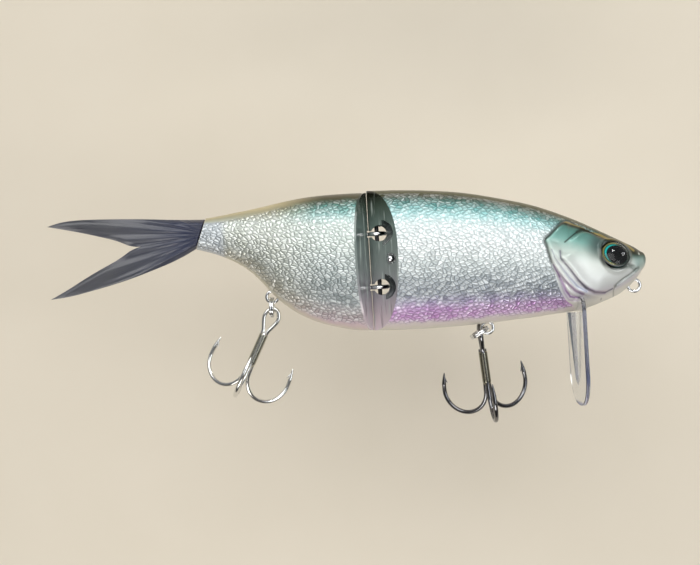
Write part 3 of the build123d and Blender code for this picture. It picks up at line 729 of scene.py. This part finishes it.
def body_finish(name, rows, is_front):
    """Pearl paint in bands under a gloss coat, over moulded scales."""
    n = Nodes(name)
    where = n.place()
    x, _, z = n.split(where)
    along = n.share(x, LOW_X, HIGH_X)
    back, belly = outline_curve(n, along, rows, 1), outline_curve(n, along, rows, 2)
    height = n.share(z, LOW_Z, HIGH_Z)
    level = n.divided(n.minus(height, belly), n.minus(back, belly), clamp=True)
    wander = n.noise(where, 320.0, 2.0)[0]
    level = n.plus(level, n.times(n.minus(wander, 0.5), 0.05), clamp=True)
    colour = n.ramp(level, FRONT_BANDS if is_front else REAR_BANDS)
    if not is_front:
        # the teal and the pink die out towards the tail, and the back turns to pale tan
        colour = n.mix(n.step(x, -0.086, -0.104), colour, n.ramp(level, TAIL_END_BANDS))
        tip = n.times(n.step(x, -0.1145, -0.1170), n.step(level, 0.88, 0.80))
        colour = n.paint(colour, tip, 0.7, rgb(176, 184, 196))

    # pebbled scales, each with its own tone, partly a random tone of the paint and partly a painted glint
    flat = n.add("Attribute", attribute_name="flank").outputs["Vector"]
    warp = n.noise(where, 260.0, 1.0)[1]
    bent = n.add("VectorMath", {0: warp, 1: (0.5, 0.5, 0.5), 2: flat}, operation="MULTIPLY_ADD").outputs[0]
    cell = {"Vector": bent, "Scale": 1.0, "Randomness": 0.84}
    edge = n.add("TexVoronoi", cell, feature="DISTANCE_TO_EDGE", voronoi_dimensions="2D").outputs["Distance"]
    tone = n.split(n.add("TexVoronoi", cell, feature="F1", voronoi_dimensions="2D").outputs["Color"])
    pebble = n.share(edge, 0.0, 0.42, "SMOOTHERSTEP")
    # painted shade: the narrow grooves between the scales, to be darkened
    groove_shade = n.step(edge, 0.16, 0.03)

    # there are none on the head, at the belly's margin and on the top of the back
    if is_front:
        ahead = n.split(flat)[2]                                            # mm ahead of the gill edge
        scaled = n.step(ahead, -0.15, -0.6)
    else:
        scaled = n.step(x, -0.1238, -0.1230)
    scaled = n.times(scaled, n.step(level, 0.035, 0.06))
    under_back = n.times(n.minus(back, height), (HIGH_Z - LOW_Z) / MM)      # mm
    strip = 1.35 if is_front else 2.0
    scaled = n.times(scaled, n.step(under_back, strip - 0.35, strip + 0.25))

    # painted shade and glint: a darker copy of the paint for the grooves, and a near-white copy that each
    # scale leans towards, standing for its glint
    dark = n.mix(1.0, colour, rgb(120, 128, 130), "MULTIPLY")
    bright = n.mix(0.35, colour, rgb(250, 255, 255))
    scale = n.mix(tone[0], n.mix(0.18, colour, dark), bright)
    # painted shade laid in the grooves between the scales
    scale = n.paint(scale, groove_shade, 0.6, dark)
    colour = n.paint(colour, scaled, 0.9, scale)

    metallic = n.times(n.step(level, 0.05, 0.12), 0.52)
    metallic = n.times(metallic, n.step(level, 0.985, 0.94))
    if is_front:
        head = n.step(ahead, -0.30, -0.05)
        gill_edge = n.step(n.maths("ABSOLUTE", n.plus(ahead, 0.30)), 0.60, 0.12)
        colour = n.mix(head, colour, head_paint(n, x, z, level))
        colour = n.paint(colour, n.times(gill_edge, n.step(z, 0.002, 0.009)), 0.7, rgb(52, 60, 58))
        metallic = n.times(metallic, n.maths("MULTIPLY_ADD", head, -0.45, 1.0))
    bump = n.add("Bump", {"Strength": 0.65, "Distance": 0.0002, "Height": n.times(pebble, scaled)}).outputs[0]
    rough = n.maths("MULTIPLY_ADD", tone[2], 0.06, 0.36)
    return n.set(Base_Color=colour, Metallic=metallic, Roughness=rough, Normal=bump, Coat_Weight=0.45,
                 Coat_Roughness=0.12, Coat_IOR=1.45, Coat_Normal=bump)


def joint_face_finish():
    """Smoky clear plastic of the faces in the joint, with painted light on the floors of the recesses round
    the windows.
    """
    n = Nodes("joint face")
    x, _, z = n.split(n.place())
    colour = n.ramp(n.share(z, -0.0085, 0.031), tones(
        (0.0, 206, 190, 196), (0.10, 186, 172, 178), (0.25, 150, 146, 152), (0.45, 128, 136, 134),
        (0.75, 104, 120, 114), (0.9, 66, 78, 68), (0.97, 34, 36, 26), (1.0, 20, 20, 12)))
    drift = n.noise(n.vector(n.times(x, 1400.0), 0.0, n.times(z, 90.0)), 1.0, 3.0)[0]
    colour = n.mix(n.step(drift, 0.56, 0.72), colour, rgb(176, 186, 180))
    colour = n.paint(colour, n.step(drift, 0.42, 0.30), 0.5, rgb(58, 66, 62))
    for height in joint_heights:
        d = n.radius(n.minus(x, (pin.x + WINDOW_AHEAD) * MM), n.minus(z, height * MM))
        # painted light: the far side of each recess floor is lightened, standing in for light that comes
        # through the clear plastic into the deep pit
        recess_painted_light = n.times(n.step(d, 3.8 * MM, 3.6 * MM), n.step(x, -0.0716, -0.0706))
        colour = n.paint(colour, recess_painted_light, 0.45, rgb(150, 160, 156))
    return n.set(Base_Color=colour, Roughness=0.14, Coat_Weight=0.6, Coat_Roughness=0.04,
                 Subsurface_Weight=0.15, Subsurface_Radius=(0.002, 0.002, 0.002), Subsurface_Scale=1.0)


def in_joint(centre, normal, part):
    """True for a face that lies in the joint and not on the painted side."""
    x, y, z = centre.x / MM, abs(centre.y) / MM, centre.z / MM
    if part == "rear":
        plane = rear_hi.x / MM + RAKE["rear"] * (y - TIP_HALF)
        return x > plane - 0.12 or math.hypot(x - pin.x, y) < 3.2
    plane = front_lo.x / MM + RAKE["front"] * (y - TIP_HALF)
    recess_floor = x < -67.2 and abs(normal.y) > 0.98 and y < 8.2
    near_window = any(math.hypot(x - pin.x - 0.65, z - height) < 4.15 for height in joint_heights)
    recess_wall = near_window and x < min(-66.5, plane + 7.5) and y < 8.6 and abs(normal.y) < 0.9
    ball_hole = math.hypot(x + 69.2, z - 11.65) < 1.7
    return x < plane + 0.12 or recess_floor or recess_wall or ball_hole


paint = {"front": body_finish("front paint", front_rows, True),
         "rear": body_finish("rear paint", rear_rows, False)}
joint_face = joint_face_finish()
for (part, hand), obj in shells.items():
    put_on(obj, paint[part], joint_face)
    for poly in obj.data.polygons:
        poly.material_index = 1 if in_joint(poly.center, poly.normal, part) else 0
    stands_for(obj, f"{part}_shell_{hand}", part)


# ---- eyes of the fish
EYE_R = 4.02 * MM


def iris_finish():
    """Black pupil in a teal ring with a thin yellow rim, darker ahead of the pupil."""
    n = Nodes("iris")
    x, _, z = n.split(n.place())
    x, z = n.minus(x, sight_mid.x), n.minus(z, sight_mid.z)
    lean = math.radians(20)
    u = n.plus(n.times(x, math.cos(lean)), n.times(z, -math.sin(lean)))
    v = n.plus(n.times(x, math.sin(lean)), n.times(z, math.cos(lean)))
    out = n.radius(n.divided(u, 4.0 * MM), n.divided(v, 3.35 * MM))
    pupil = n.radius(n.divided(n.minus(u, 0.55 * MM), 2.75 * MM), n.divided(n.minus(v, -0.1 * MM), 2.3 * MM))
    ring = n.ramp(out, tones(
        (0.0, 10, 70, 70), (0.52, 4, 140, 138), (0.62, 0, 196, 190), (0.71, 24, 66, 60), (0.77, 150, 146, 74),
        (0.83, 70, 62, 34), (0.89, 12, 12, 9)))
    ring = n.mix(n.step(u, 1.2 * MM, -0.6 * MM), rgb(22, 44, 42), ring)
    colour = n.mix(n.step(pupil, 1.06, 0.96), ring, rgb(2, 2, 3))
    return n.set(Base_Color=colour, Metallic=0.1, Roughness=0.5, Specular_IOR_Level=0.1)


def lens_finish():
    n = Nodes("clear dome")
    tint = n.mix(n.noise(n.place(), 60.0, 2.0)[0], (0.96, 0.98, 1, 1), (1, 1, 1, 1))
    return n.set(Base_Color=tint, Roughness=0.02, Transmission_Weight=1.0, IOR=1.3)


def lathe(name, profile, matrix, sides=72):
    """Turned about the eye's axis; profile is (radius, height) in metres."""
    t = np.linspace(0, 2 * math.pi, sides, endpoint=False)
    rows = [np.stack([r * np.cos(t), r * np.sin(t), np.full(sides, h)], -1) for r, h in profile]
    obj = mesh_object(name, np.concatenate(rows), grid_faces(len(rows), sides, wrap=True))
    tidy(obj, 1e-7, 50)
    obj.data.transform(matrix)
    return obj


iris, lens = iris_finish(), lens_finish()
for side, hand in ((-1, "right"), (1, "left")):
    axis = Vector((sight.x, side * abs(sight.y), sight.z))
    middle = Vector((sight_mid.x, side * abs(sight_mid.y), sight_mid.z))
    matrix = Matrix.Translation(middle) @ axis.to_track_quat("Z", "Y").to_matrix().to_4x4()
    k = np.linspace(0, 1, 24)
    cone = [(EYE_R * (1 - s), (-0.22 - 0.25 * s) * MM) for s in k]          # dished towards the pupil
    disc = lathe("iris_" + hand, [(0.0, -0.95 * MM), (EYE_R, -0.95 * MM)] + cone, matrix)
    cap = [(EYE_R * math.cos(s * math.pi / 2), (0.05 + 1.75 * math.sin(s * math.pi / 2)) * MM) for s in k]
    dome = lathe("eye_lens_" + hand, [(0.0, -0.14 * MM), (EYE_R * 0.985, -0.14 * MM)] + cap, matrix)
    stands_for(put_on(disc, iris), "eye_disc_" + hand, "front")
    stands_for(put_on(dome, lens), "eye_dome_" + hand, "front")


# ---- bill
bill_lo, bill_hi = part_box("bill")
BILL_HALF = (bill_hi.y - bill_lo.y) / 2
BILL_T, BILL_BEVEL, BILL_CORNER = 1.15 * MM, 0.16 * MM, 2.6 * MM
BILL_TOP, BILL_FOOT = -2.4 * MM, bill_lo.z
BILL_KNEE = BILL_FOOT + 9.5 * MM                    # where the straight sides turn into the round foot
plate_x = bill_hi.x - BILL_T / 2


def bill_outline(inset):
    """Closed outline of the plate from the middle of its top edge, (y, z)."""
    w, top, r = BILL_HALF - inset, BILL_TOP - inset, BILL_CORNER
    pts = [(0.0, top), (w - r, top)]
    pts += [(w - r + r * math.sin(a), top - r + r * math.cos(a)) for a in np.linspace(0.15, math.pi / 2, 9)]
    pts += [(w, top - r + (BILL_KNEE - top + r) * s) for s in np.linspace(0.12, 1, 14)]
    drop = BILL_KNEE - BILL_FOOT - inset
    turn = np.linspace(0.05, math.pi / 2, 26)
    pts += [(w * math.cos(a) ** 0.86, BILL_KNEE - drop * math.sin(a)) for a in turn]
    pts[-1] = (0.0, BILL_FOOT + inset)
    return np.array(pts + [(-y, z) for y, z in pts[-2:0:-1]])


def bill_plate():
    """The flat blade, with bevelled rims and two rings of faces inside them on each side."""
    margin = 1.2 * MM
    heart = np.array([0.0, (BILL_TOP + BILL_FOOT) / 2])
    inner = heart + (bill_outline(margin) - heart) * 0.45
    outlines = [inner, bill_outline(margin), bill_outline(BILL_BEVEL), bill_outline(0.0)]
    depths = [-BILL_T / 2] * 3 + [BILL_BEVEL - BILL_T / 2]
    outlines, depths = outlines + outlines[::-1], depths + [-d for d in depths[::-1]]
    rows = [np.stack([np.full(len(o), plate_x + d), o[:, 0], o[:, 1]], -1) for o, d in zip(outlines, depths)]
    count, total = len(rows[0]), len(rows) * len(rows[0])
    faces = grid_faces(len(rows), count, wrap=True)
    faces += [tuple(range(count))[::-1], tuple(range(total - count, total))]
    plate = mesh_object("bill_plate", np.concatenate(rows), faces)
    tidy(plate, 1e-8, 30)
    return plate


def bill_keel():
    """A long tongue down the rear face, ending in a point."""
    top, bottom = BILL_TOP - 4.2 * MM, BILL_FOOT + 5.6 * MM
    x, rows = plate_x - BILL_T / 2 + 0.05 * MM, []
    for s in np.linspace(0, 1, 30):
        z = top + (bottom - top) * s
        w = (2.1 - 1.3 * s) * MM * min(1, (1 - s) / 0.12 + 0.04)
        d = (2.1 - 1.5 * s) * MM * min(1, (1 - s) / 0.1 + 0.08)
        half = [(x, -w, z), (x - d * 0.75, -w * 0.62, z), (x - d, -w * 0.3, z)]
        rows.append(half + [(px, -py, pz) for px, py, pz in half[::-1]])
    verts = np.array(rows).reshape(-1, 3)
    faces = grid_faces(len(rows), 6, wrap=True)
    faces += [tuple(range(6)), tuple(range(len(verts) - 6, len(verts)))[::-1]]
    keel = mesh_object("bill_keel", verts, faces)
    tidy(keel, 1e-7, 30)
    return keel


def bill_finish():
    """Clear plastic, bluish at the rim and most of all at the foot."""
    n = Nodes("clear bill")
    _, y, z = n.split(n.place())
    rim = n.step(n.maths("ABSOLUTE", y), BILL_HALF - 0.9 * MM, BILL_HALF)
    rim = n.maths("MAXIMUM", rim, n.step(z, BILL_FOOT + 1.6 * MM, BILL_FOOT))
    colour = n.mix(rim, (0.95, 0.97, 0.99, 1), rgb(168, 178, 216))
    colour = n.mix(n.times(rim, n.step(z, -0.018, -0.030)), colour, rgb(84, 106, 188))
    return n.set(Base_Color=colour, Roughness=0.03, Transmission_Weight=1.0, IOR=1.5)


clear_plastic = bill_finish()
for obj in (bill_plate(), bill_keel()):
    stands_for(put_on(obj, clear_plastic), "bill", "front")


# ---- tail
# outlines of the two lobes in mm, (x, z): the outer edges from root to tip, and the fork between them
TAIL_UP = [(-121.15, 25.95), (-123.0, 26.0), (-129.0, 26.3), (-136.7, 27.0), (-148.2, 27.7), (-156.0, 27.95),
           (-160.5, 27.8), (-163.6, 27.3), (-166.2, 26.5)]
TAIL_UP_IN = [(-166.2, 26.5), (-162.6, 25.7), (-157.0, 24.4), (-151.3, 22.8), (-146.5, 21.4), (-141.9, 19.1)]
TAIL_LOW_IN = [(-141.9, 19.1), (-146.0, 16.2), (-151.9, 13.4), (-156.3, 11.1), (-160.8, 8.5), (-166.4, 5.7)]
TAIL_LOW = [(-166.4, 5.7), (-160.9, 6.2), (-155.1, 7.4), (-149.3, 8.7), (-143.5, 10.2), (-137.6, 12.1),
            (-131.8, 14.1), (-127.5, 15.95), (-124.2, 17.7)]
# the line from the root to the fork, and the point that the ribs spread from
TAIL_MIDDLE = [(-122.65, 21.85), (-130.0, 20.6), (-136.0, 19.7), (-141.9, 19.1)]
TAIL_FAN = (-118.0, 21.5)


def even(points, count):
    """A drawn line rounded and read at even steps."""
    pts = rounded(points, 3)
    run = np.concatenate([[0], np.cumsum(np.hypot(*np.diff(pts, axis=0).T))])
    s = np.linspace(0, run[-1], count)
    return np.stack([np.interp(s, run, pts[:, 0]), np.interp(s, run, pts[:, 1])], -1)


def tail_half_thickness(x, z):
    """Half thickness in mm: thick at the root, thin to the rim, with long ribs."""
    lines = (TAIL_UP, TAIL_LOW, TAIL_UP_IN, TAIL_LOW_IN)
    edge = np.minimum.reduce([line_distance(line, x, z)[0] for line in lines])
    plain = 0.55 + 2.1 * smoothstep(-146, -122, x) ** 1.7
    angle = np.arctan2(z - TAIL_FAN[1], TAIL_FAN[0] - x)
    ribs = 0.16 * np.cos(angle * 46) * smoothstep(-124, -132, x)
    return (plain + ribs) * (0.22 + 0.78 * np.sqrt(smoothstep(0.0, 1.4, edge)))


def tail_lobe(name, outer, inner, shift):
    """A closed sheet between two lines that run from the root to the tip."""
    count, cols = 220, 48
    s = np.linspace(0, 1, cols)[None, :, None]
    grid = even(outer, count)[:, None] * (1 - s) + even(inner, count)[:, None] * s
    x, z = grid[..., 0], grid[..., 1]
    t = tail_half_thickness(x, z)
    verts = np.concatenate([np.stack([x + shift, y, z], -1).reshape(-1, 3) for y in (-t, t)])
    off = count * cols
    faces = grid_faces(count, cols) + grid_faces(count, cols, start=off, flip=True)
    for line in (range(0, off, cols), range(cols - 1, off, cols), range(cols), range(off - cols, off)):
        faces += [(a, b, b + off, a + off) for a, b in zip(line, line[1:])]
    return mesh_object(name, verts * MM, faces)


def tail_finish():
    """Smoky soft plastic, darker at the root, with streaks that fan out with the ribs."""
    n = Nodes("soft tail")
    x, _, z = n.split(n.place())
    along = n.share(x, -0.123, -0.166)
    colour = n.ramp(along, tones(
        (0.0, 34, 40, 66), (0.12, 52, 58, 82), (0.3, 74, 78, 92), (0.6, 88, 90, 96), (1.0, 92, 94, 100)))
    fan = n.maths("ARCTAN2", n.minus(z, TAIL_FAN[1] * MM), n.minus(TAIL_FAN[0] * MM, x))
    streak = n.noise(n.vector(n.times(fan, 46.0), n.times(x, 60.0), 0.0), 1.0, 4.0)[0]
    colour = n.paint(colour, n.step(streak, 0.42, 0.72), 0.4, rgb(110, 110, 116))
    colour = n.paint(colour, n.step(streak, 0.42, 0.28), 0.6, rgb(42, 44, 58))
    bump = n.add("Bump", {"Strength": 0.3, "Distance": 0.0003, "Height": streak}).outputs[0]
    clearness = n.ramp(along, [(at, (part, part, part, 1)) for at, part in ((0, 0.1), (0.4, 0.3), (1, 0.4))])
    return n.set(Base_Color=colour, Roughness=0.28, Normal=bump, Subsurface_Weight=0.25,
                 Subsurface_Radius=(0.002, 0.002, 0.0025), Subsurface_Scale=1.0, Coat_Weight=0.25,
                 Coat_Roughness=0.12, Transmission_Weight=clearness, IOR=1.42)


tail_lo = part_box("tail")[0]
shift = tail_lo.x / MM - min(x for x, _ in TAIL_LOW)
tail = join([tail_lobe("tail_upper", TAIL_UP, TAIL_MIDDLE + TAIL_UP_IN[::-1][1:], shift),
             tail_lobe("tail_lower", TAIL_LOW[::-1], TAIL_MIDDLE + TAIL_LOW_IN[1:], shift)], "soft_tail")
with editing(tail, 4e-5) as bm:
    # the walls that both lobes have where they meet
    shared = [f for f in bm.faces if all(len(e.link_faces) > 2 for e in f.edges if e.calc_length() > 1e-4)]
    bmesh.ops.delete(bm, geom=[f for f in shared if abs(f.normal.y) < 0.3], context="FACES")
stands_for(put_on(tail, tail_finish()), "tail", None)
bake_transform(tail)


# ---- rings, hooks and wire
bright = wire_metal("bright wire", (0.80, 0.81, 0.82, 1), 0.10)
nickel = wire_metal("nickel", (0.86, 0.86, 0.84, 1), 0.14)
black_nickel = wire_metal("black nickel", (0.20, 0.20, 0.21, 1), 0.12)
braze_light = wire_metal("braze light", (0.46, 0.45, 0.38, 1), 0.22)
braze_dark = wire_metal("braze dark", (0.24, 0.23, 0.18, 1), 0.22)
steel = wire_metal("pin steel", (0.22, 0.22, 0.23, 1), 0.2)
lead = wire_metal("lead", (0.18, 0.18, 0.19, 1), 0.5)


def split_ring(name, node, body, reach):
    """A coil of two turns with thinned ends, lying along the direction that it reaches in."""
    middle = np.array(sum(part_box(node), Vector()) / 2)
    out = np.array(reach) / np.linalg.norm(reach)
    side = np.array(CROSS, float)
    normal = np.cross(out, side)
    radius, wire, count = 2.65 * MM, 0.36 * MM, 260
    t = np.linspace(0, 4 * math.pi, count)
    # the wire lies flat in each turn, and steps across within a short stretch
    step = 0.31 * MM * (2 * smoothstep(math.pi * 1.80, math.pi * 2.20, t) - 1)
    path = [middle + radius * (math.cos(a) * out + math.sin(a) * side) + normal * s for a, s in zip(t, step)]
    thinned = [0.55, 0.8, 0.93, 1]
    coil = tube(name, path, wire * np.array(thinned + [1] * (count - 8) + thinned[::-1]), sides=16)
    stands_for(put_on(coil, bright), node, body)
    return middle


# a treble hook, in mm: wire radius, its distance from the shank's axis, the bend, and how far down things are
HOOK_WIRE, CROWD, BEND_R, BEND_AT, TIP_AT = 0.62, 0.63, 6.6, 19.6, 14.0
EYE_SIDE = [(-CROWD * 0.9, 8.6), (-CROWD, 6.9), (-1.35, 5.2), (-2.02, 3.5), (-2.05, 2.1), (-1.45, 0.75),
            (-0.55, 0.08)]
TIP_POINTS = 17         # points of the path over which the wire thins to its point


def hook_path():
    """Shank, bend and point of one hook: (out from the shank's axis, down)."""
    pts = [(CROWD, 7.2 + k) for k in np.linspace(0, 9.8, 12)]
    pts += [(CROWD + 0.12 * k ** 2, 17.0 + 2.2 * k) for k in np.linspace(0.1, 1, 6)]
    middle = pts[-1][0] + BEND_R
    turn = np.linspace(0.08, math.pi, 40)
    pts += [(middle - BEND_R * math.cos(a), BEND_AT + BEND_R * math.sin(a)) for a in turn]
    rise = np.linspace(0, 1, 26)[1:]
    return pts + [(middle + BEND_R - 0.75 * k ** 1.6, BEND_AT - (BEND_AT - TIP_AT) * k) for k in rise]


def treble(name, node, body, top, down, across, fan, metal, braze):
    """Three hooks on a brazed shank: its eye's top, the ways down, across the eye and of the first hook."""
    top, down, across, fan = (np.array(v) for v in (top, down, across, fan))
    third = np.cross(down, fan)

    def wire(label, points, out, radius, sides=20):
        return tube(label, [top + (a * out + d * down) * MM for a, d in points], np.array(radius) * MM, sides)

    loop = rounded(EYE_SIDE + [(-a, d) for a, d in EYE_SIDE[::-1]], 3)
    pieces = [wire("loop", loop, across, HOOK_WIRE)]
    pts = hook_path()
    thin = np.linspace(0, 1, TIP_POINTS)
    radius = np.full(len(pts), HOOK_WIRE)
    radius[-TIP_POINTS:] = HOOK_WIRE * np.sqrt(np.maximum(1 - thin ** 1.25, 0.0)) * (1 - 0.28 * thin) + 0.02
    # the barb: a small sliver lifted from the inner side of the point
    at = pts[-11]
    lift = ((0.15, -0.9), (0.45, -0.2), (0.82, 0.75), (0.98, 1.05))
    barb = rounded([(at[0] - a, at[1] + d) for a, d in lift], 1)
    for turn in (0, 120, 240):
        out = fan * math.cos(math.radians(turn)) + third * math.sin(math.radians(turn))
        pieces.append(wire("hook", pts, out, radius))
        pieces.append(wire("barb", barb, out, np.linspace(0.3, 0.04, len(barb)), 10))
    stands_for(put_on(join(pieces, name), metal), node, body)
    # solder between the three wires
    t = np.linspace(0, 1, 40)
    r = 1.24 * (0.55 + 0.45 * smoothstep(0, 0.05, t)) * (1 - 0.42 * smoothstep(0.86, 1.0, t))
    sleeve = wire(name + "_braze", [(0, 7.5 + 10.7 * k) for k in t], across, r, 36)
    stands_for(put_on(sleeve, braze), node, body)


front_ring = split_ring("front_coil", "front_split_ring", "front_ring", (-0.878, 0, -0.479))
split_ring("rear_coil", "rear_split_ring", "rear_ring", (-0.059, 0, -0.998))

down = Vector((0.098, 0.18, -0.978)).normalized()
across = (Vector(CROSS) - down * down.y).normalized()
treble("front_hooks", "front_treble", "front_hook", Vector(front_ring) + Vector((0.25, 2.70, 1.9)) * MM, down,
       across, -across, black_nickel, braze_dark)
down = Vector((-0.46, 0, -0.888)).normalized()
ring_foot = Vector(joints["rear_hook_swing"]["pos_m"])
treble("rear_hooks", "rear_treble", "rear_hook", ring_foot - down * 2.4 * MM, down,
       down.cross(-Vector(CROSS)), -Vector(CROSS), nickel, braze_light)

# CAD pieces that keep their shape and get a finish
for node in ("line_tie", "front_hook_hanger", "rear_hook_hanger", "upper_joint_eye", "lower_joint_eye",
             "joint_ball_right", "joint_ball_left", "hinge_pin"):
    obj = put_on(frame["nodes"][node], steel if node == "hinge_pin" else bright)
    for poly in obj.data.polygons:
        poly.use_smooth = True
    obj.data.set_sharp_from_angle(angle=math.radians(40))
for node in ("front_ballast", "rear_ballast"):
    put_on(frame["nodes"][node], lead)


# ---- studio
lo, hi = (Vector(p) for p in cad_bounds)
length = hi.x - lo.x
centre = Vector(((lo.x + hi.x) / 2, 0, 5.6 * MM))


def backdrop(y):
    """A plain pale sheet behind the lure, seen from its front only."""
    n = Nodes("paper")
    grain = n.noise(n.place(), 30.0, 2.0)[0]
    colour = n.mix(grain, rgb(216, 207, 190), rgb(221, 212, 196))
    n.set(Base_Color=colour, Roughness=0.9, Specular_IOR_Level=0.1)
    facing = n.add("NewGeometry").outputs["Backfacing"]
    both = n.add("MixShader", {0: facing, 1: n.bsdf.outputs[0], 2: n.add("BsdfTransparent").outputs[0]})
    n.tree.links.new(both.outputs[0], n.tree.nodes["Material Output"].inputs["Surface"])
    w, h = length * 5, length * 4
    corners = [(centre.x + sx * w, y, sz * h) for sx, sz in ((-1, -1), (1, -1), (1, 1), (-1, 1))]
    wall = mesh_object("backdrop", corners, [(0, 1, 2, 3)], smooth=False)
    put_on(wall, n.mat)


def sky():
    """Dim surroundings, warm below and cool above, for the metal to mirror."""
    world = bpy.data.worlds.new("studio")
    bpy.context.scene.world = world
    world.use_nodes = True
    tree = world.node_tree
    coord, split, share, ramp = (tree.nodes.new("ShaderNode" + kind) for kind in (
        "TexCoord", "SeparateXYZ", "MapRange", "ValToRGB"))
    share.inputs["From Min"].default_value, share.inputs["From Max"].default_value = -1.0, 1.0
    low, high = ramp.color_ramp.elements
    low.position, low.color = 0.25, (0.16, 0.15, 0.14, 1)
    high.position, high.color = 0.75, (0.50, 0.52, 0.54, 1)
    back = tree.nodes["Background"]
    back.inputs["Strength"].default_value = 0.5
    for out, into in ((coord.outputs["Generated"], split.inputs[0]), (split.outputs[2], share.inputs[0]),
                      (share.outputs[0], ramp.inputs[0]), (ramp.outputs[0], back.inputs["Color"])):
        tree.links.new(out, into)


def area(name, place, target, size, power, colour=(1, 1, 1)):
    """A soft rectangular lamp that faces its target."""
    light = bpy.data.lights.new(name, "AREA")
    light.shape, light.size, light.size_y = "RECTANGLE", size[0], size[1]
    light.energy, light.color = power, colour
    lamp = bpy.data.objects.new(name, light)
    bpy.context.scene.collection.objects.link(lamp)
    lamp.location = place
    lamp.rotation_mode = "QUATERNION"
    lamp.rotation_quaternion = (Vector(target) - Vector(place)).to_track_quat("-Z", "Y")


def camera(distance, width_seen, roll, aim):
    """A camera square to the right flank."""
    data = bpy.data.cameras.new("camera")
    cam = bpy.data.objects.new("camera", data)
    bpy.context.scene.collection.objects.link(cam)
    right = Vector((math.cos(roll), 0, -math.sin(roll)))
    up = Vector((math.sin(roll), 0, math.cos(roll)))
    matrix = Matrix.Identity(4)
    for i, axis in enumerate((right, up, Vector((0, -1, 0)))):
        matrix.col[i][:3] = axis
    matrix.col[3][:3] = aim + Vector((0, -distance, 0))
    cam.matrix_world = matrix
    data.sensor_width = 36
    data.lens = data.sensor_width * distance / width_seen
    bpy.context.scene.camera = cam


backdrop(0.08)
sky()
area("key", centre + Vector((-0.04, -0.46, 0.30)), centre, (0.66, 0.40), 2.45, (1.0, 0.99, 0.97))
area("fill", centre + Vector((0.35, -0.45, -0.05)), centre, (0.25, 0.35), 0.9, (0.95, 0.98, 1.0))
area("low", centre + Vector((-0.10, -0.35, -0.40)), centre, (0.5, 0.2), 1.5, (1.0, 0.97, 0.93))
area("rear", centre + Vector((0.1, 0.5, 0.5)), centre, (0.6, 0.4), 1.3)
glint = Vector((0.33, -0.38, 0.86)).normalized()        # the way the eye's dome mirrors towards the camera
area("glint", sight_mid + glint * 0.5, sight_mid, (0.07, 0.05), 0.38)
camera(0.34, length * 1.175, math.radians(3.4), centre + Vector((0.5 * MM, 0, 0)))
bpy.context.scene.view_settings.view_transform = "Standard"
